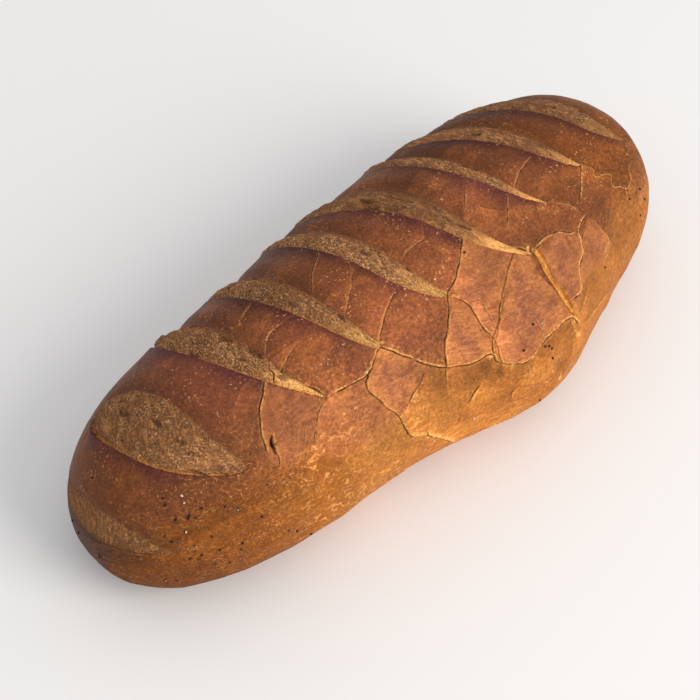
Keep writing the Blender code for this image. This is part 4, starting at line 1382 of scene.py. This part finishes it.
def plate_finish(m, here, ripples):
    """The matt colour of the lifted plates."""
    weft = m.noise(here, 85.0, detail=3.0, warp=1.0)
    middle = m.maths("MULTIPLY", m.attribute("plate_inner"), m.step(weft, 0.3, 0.6, 0.8, 0.4))
    colour = m.mix(m.step(weft, 0.38, 0.60), PLATE_BROWN, PLATE_TAN)
    colour = m.mix(middle, colour, PLATE_MIDDLE)
    colour = m.mix(m.step(ripples, 0.48, 0.68, 0.0, 0.4), colour, RIPPLE_PALE)
    colour = m.mix(m.step(ripples, 0.50, 0.32, 0.0, 0.35), colour, RIPPLE_DARK)
    return m.mix(1.0, colour, m.grey(m.attribute("plate_light")), blend="MULTIPLY")


def crust_grain(m, here, place, fine, front, bed):
    """The finest grain, -1 to 1: streaks on the front's crust, and specks elsewhere."""
    specks = m.noise(here, 1300.0, detail=2.0, rough=0.6)
    streaks = m.noise(m.stretched(m.nudged(place, 0.2, 1.2), STREAK_SIZE), 1.0, detail=2.0, rough=0.6)
    streaks = m.maths("ADD", m.maths("MULTIPLY", streaks, 0.45), m.maths("MULTIPLY", fine, 0.55))
    bedless = m.maths("MULTIPLY", front, m.maths("SUBTRACT", 1.0, bed))
    return m.step(m.add("Mix", i0=bedless, i2=specks, i3=streaks), 0.25, 0.75, -1.0, 1.0)


print("ripples are about", [round(size / RIPPLE_SCALE, 1) for size in RIPPLE_SIZE[:2]], "mm long and wide")

# %% [markdown]
# One material carries the whole crust. It lays skin, plates, floors, the wide opening, the pale edges and the
# painted shade inside the tears over one another, and the same masks choose the gloss and the small bumps.
# Separate materials would need borders along faces, and a baked loaf has none.

# %% The crust's material
OPENING_GOLD = linear(202, 126, 50)
OPENING_PALE = linear(230, 160, 80)
TEAR_EDGE = linear(248, 184, 104)
TEAR_SHADE_COLOUR = linear(54, 27, 16)
FRONT_ROUGHNESS = 0.62
PLATE_ROUGHNESS = 0.68
FLOOR_ROUGHNESS = 0.85
CRUST_SHINE = 0.15
BUMP_HEIGHT = 0.0008  # metres


def crust_material():
    """The whole crust: its colour, its gloss and its small bumps."""
    m = Nodes("baked_crust")
    here = m.add("TexCoord", output=3)
    place = m.place("crust_place")
    bed, front = m.attribute("bed"), m.attribute("front")
    mottle = m.noise(here, 190.0, detail=4.0, rough=0.6)
    fine = m.noise(here, 640.0, detail=2.0, rough=0.65)
    wrinkles = wrinkle_lines(m, place, mottle)
    ripples = plate_ripples(m, place)
    colour = crust_skin(m, here, place, mottle, fine, wrinkles)
    floor_colour, fibres, grit = slash_floor(m, here, m.place("bed_place"))

    on_plate = m.step(m.attribute("plate"), 0.0, 1.0)
    on_plate = m.maths("MULTIPLY", on_plate, m.step(mottle, 0.25, 0.6, 0.75, 1.0))
    in_slash = m.step(m.maths("ADD", bed, m.step(grit, 0.3, 0.7, -0.25, 0.25)), 0.2, 0.8)
    colour = m.mix(on_plate, colour, plate_finish(m, here, ripples))
    colour = m.mix(in_slash, colour, floor_colour)
    grain = m.scaled_by(crust_grain(m, here, place, fine, front, bed), m.attribute("panel_grain"))
    colour = m.mix(1.0, colour, m.grey(grain), blend="MULTIPLY")
    colour = m.mix(1.0, colour, m.grey(m.attribute("patch_light")), blend="MULTIPLY")
    opening_colour = m.mix(m.step(ripples, 0.4, 0.65), OPENING_GOLD, OPENING_PALE)
    colour = m.mix(m.attribute("opening"), colour, opening_colour)
    rim = m.maths("MULTIPLY", m.attribute("tear_rim"), m.step(fine, 0.34, 0.58, 0.2, 0.95))
    colour = m.mix(rim, colour, TEAR_EDGE)
    # painted shade inside the tears and along the opening's near edge
    colour = m.mix(m.attribute("tear_shade"), colour, TEAR_SHADE_COLOUR)
    m.feed(m.shader.inputs["Base Color"], colour)

    gloss = m.add("Mix", i0=front, i2=m.step(fine, 0.2, 0.8, 0.44, 0.58), i3=FRONT_ROUGHNESS)
    gloss = m.add("Mix", i0=on_plate, i2=gloss, i3=PLATE_ROUGHNESS)
    gloss = m.add("Mix", i0=in_slash, i2=gloss, i3=FLOOR_ROUGHNESS)
    m.feed(m.shader.inputs["Roughness"], gloss)
    m.shader.inputs["Specular IOR Level"].default_value = CRUST_SHINE

    bump = m.maths("ADD", m.maths("MULTIPLY", fine, m.step(front, 0.0, 1.0, 0.6, 0.3)),
                   m.maths("MULTIPLY", mottle, m.step(front, 0.0, 1.0, 0.8, 0.25)))
    bump = m.maths("ADD", bump, m.maths("MULTIPLY", wrinkles, 0.35))
    bump = m.add("Mix", i0=on_plate, i2=bump, i3=m.maths("MULTIPLY", ripples, 1.3))
    floor_bump = m.maths("ADD", m.maths("MULTIPLY", fibres, 2.0), m.maths("MULTIPLY", grit, 1.3))
    bump = m.add("Mix", i0=in_slash, i2=bump, i3=floor_bump)
    m.feed(m.shader.inputs["Normal"], m.add("Bump", Strength=0.7, Distance=BUMP_HEIGHT, Height=bump))
    return m.material


crust.data.materials.append(crust_material())
print("the crust's material has", len(crust.data.materials[0].node_tree.nodes), "nodes")

# %% [markdown]
# Poppy seeds strayed onto the loaf, most of them on the front of the near end. A seed is a tiny kidney of
# about 1.5 mm at most, so a stretched ball of eighty faces is enough. A list of places says where each one
# lies, a ray finds the crust there, and all the seeds are one mesh.

# %% Poppy seeds
SEED_SIZE = (1.5, 1.25, 1.1)
SEED_SMALLEST = 0.85  # the smallest seed's share of that size
SEED_GROWTH = 0.17
SEED_LIFT = 0.22  # a seed's middle lies this far above the crust
SEED_TURN = 0.7
RAY_START = 10  # the ray starts this far above the crust
SEED_PLACES = (
    (-111, -54), (-144, -34), (-145, -38), (-131, -52), (-127, -57), (-144, -49), (-119, -68), (-152, -44),
    (-151, -54), (-160, -51), (-142, -64), (-131, -78), (-132, -82), (-141, -76), (-149, -74), (-151, -77),
    (-138, -90), (-144, -86), (-167, -90), (-162, -93), (-151, -29), (-152, -33), (-147, -47), (-146, -46),
    (-158, -56), (-155, -58), (-150, -65), (-151, -69), (-154, -74), (-140, -46), (-167, 22), (-186, 74),
    (-192, 72), (-200, -60), (-199, -42), (-105, -91), (-109, -87), (-97, -104), (28, -18), (33, -55),
    (37, -57), (23, -63), (34, -67), (36, -68), (37, -70), (36, -75), (92, -69), (29, -100),
    (-7, -90), (7, -105), (9, -102), (135, -72), (144, -68), (129, -56), (142, -59),
)


def on_crust(place_along, place_around):
    """The point of the finished crust at a place, in metres, and the outward direction."""
    start = smooth_skin(np.array([place_along]), np.array([place_around]))[0] + STEP
    out = skin_normal(np.array([place_along]), np.array([place_around]))[0]
    _, point, direction, _ = crust.ray_cast(Vector((start + out * RAY_START) * MM), -Vector(out))
    return point, direction


seeds = bmesh.new()
for number, (seed_along, seed_around) in enumerate(SEED_PLACES):
    point, direction = on_crust(seed_along, math.radians(seed_around))
    lie = direction.to_track_quat("Z", "X").to_matrix().to_4x4()
    lie = lie @ Matrix.Rotation(SEED_TURN * number, 4, "Z")
    swell = SEED_SMALLEST + SEED_GROWTH * ((number * SEED_TURN) % 1.0)
    size = Matrix.Diagonal([swell * width / 2 * MM for width in SEED_SIZE] + [1.0])
    seat = Matrix.Translation(point + direction * SEED_LIFT * MM)
    bmesh.ops.create_icosphere(seeds, subdivisions=2, radius=1.0, matrix=seat @ lie @ size)
seed_mesh = bpy.data.meshes.new("poppy_seeds")
seeds.to_mesh(seed_mesh)
seeds.free()
seed_mesh.shade_smooth()
poppy_seeds = bpy.data.objects.new("poppy_seeds", seed_mesh)
bpy.context.scene.collection.objects.link(poppy_seeds)
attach(poppy_seeds, "root")
print(len(SEED_PLACES), "seeds with", len(seed_mesh.polygons), "faces")

# %% The seeds' material, dark with a few pale ones painted as glints
SEED_DARK = linear(44, 26, 20)
SEED_BROWN = linear(92, 66, 54)
SEED_GLINT = linear(206, 186, 160)
SEED_ROUGHNESS = 0.45
SEED_SHINE = 0.18


def seed_material():
    """Dark seeds, some brown and a few painted pale as glints, by where they lie."""
    m = Nodes("poppy_skin")
    tone = m.noise(m.add("TexCoord", output=3), 330.0, detail=0.0)
    colour = m.mix(m.step(tone, 0.45, 0.6), SEED_DARK, SEED_BROWN)
    # a few seeds painted pale all over, standing in for glints
    colour = m.mix(m.step(tone, 0.62, 0.67), colour, SEED_GLINT)
    m.feed(m.shader.inputs["Base Color"], colour)
    m.shader.inputs["Roughness"].default_value = SEED_ROUGHNESS
    m.shader.inputs["Specular IOR Level"].default_value = SEED_SHINE
    return m.material


poppy_seeds.data.materials.append(seed_material())
print("the seeds' material has", len(poppy_seeds.data.materials[0].node_tree.nodes), "nodes")

# %% [markdown]
# The loaf lies on a plain pale floor. A white sky gives the soft sheen at grazing angles, and one large
# lamp on the right lights the torn front warmly, as a window would. A sky that is brighter on that side
# keeps the shadows soft, which a second lamp wouldn't.

# %% Floor
FLOOR_HALF = 3.0  # metres
FLOOR_PALE = (0.90, 0.888, 0.88, 1.0)
FLOOR_PAINT_ROUGHNESS = 0.6
floor_mesh = bmesh.new()
bmesh.ops.create_grid(floor_mesh, x_segments=1, y_segments=1, size=FLOOR_HALF)
floor_data = bpy.data.meshes.new("floor")
floor_mesh.to_mesh(floor_data)
floor_mesh.free()
floor = bpy.data.objects.new("floor", floor_data)
bpy.context.scene.collection.objects.link(floor)
floor_paint = Nodes("floor_paint")
floor_paint.shader.inputs["Base Color"].default_value = FLOOR_PALE
floor_paint.shader.inputs["Roughness"].default_value = FLOOR_PAINT_ROUGHNESS
floor.data.materials.append(floor_paint.material)
print("floor", floor.dimensions.x, "by", floor.dimensions.y, "m")

# %% Sky
SKY_BRIGHTEST = (0.6, -0.8, 0.35)  # on the right, towards the front
SKY_LOOK = (0.96, 0.97, 0.99, 1.0)
SKY_RANGE = (-1.0, 0.8)  # how far towards the brightest direction the sky starts and stops to grow brighter
SKY_STRENGTHS = (0.50, 0.84)
world = bpy.data.worlds.new("sky")
world.use_nodes = True
sky = world.node_tree
sky_side = sky.nodes.new("ShaderNodeVectorMath")
sky_side.operation = "DOT_PRODUCT"
sky_side.inputs[1].default_value = SKY_BRIGHTEST
sky_shade = sky.nodes.new("ShaderNodeMapRange")
for index, value in enumerate(SKY_RANGE + SKY_STRENGTHS, start=1):
    sky_shade.inputs[index].default_value = value
sky.links.new(sky.nodes.new("ShaderNodeTexCoord").outputs["Generated"], sky_side.inputs[0])
sky.links.new(sky_side.outputs["Value"], sky_shade.inputs[0])
sky.links.new(sky_shade.outputs[0], sky.nodes["Background"].inputs["Strength"])
sky.nodes["Background"].inputs["Color"].default_value = SKY_LOOK
bpy.context.scene.world = world
print("sky from", SKY_STRENGTHS[0], "to", SKY_STRENGTHS[1], "bright")

# %% Lamp, and how the colours are shown
LAMP_FROM = Vector((0.22, -0.82, 0.55))
LAMP_FAR = 2.4
LAMP_SIZE = 1.6  # metres across
LAMP_POWER = 37.5
LAMP_WARMTH = (1.0, 0.95, 0.88)
lamp_data = bpy.data.lights.new("window", "AREA")
lamp_data.shape = "DISK"
lamp_data.size = LAMP_SIZE
lamp_data.energy = LAMP_POWER
lamp_data.color = LAMP_WARMTH
lamp = bpy.data.objects.new("window", lamp_data)
lamp.location = LAMP_FROM * LAMP_FAR
lamp.rotation_euler = LAMP_FROM.to_track_quat("Z", "Y").to_euler()
bpy.context.scene.collection.objects.link(lamp)
bpy.context.scene.view_settings.view_transform = "Standard"
bpy.context.scene.view_settings.look = "None"
print(f"lamp {lamp.location.length:.1f} m away")
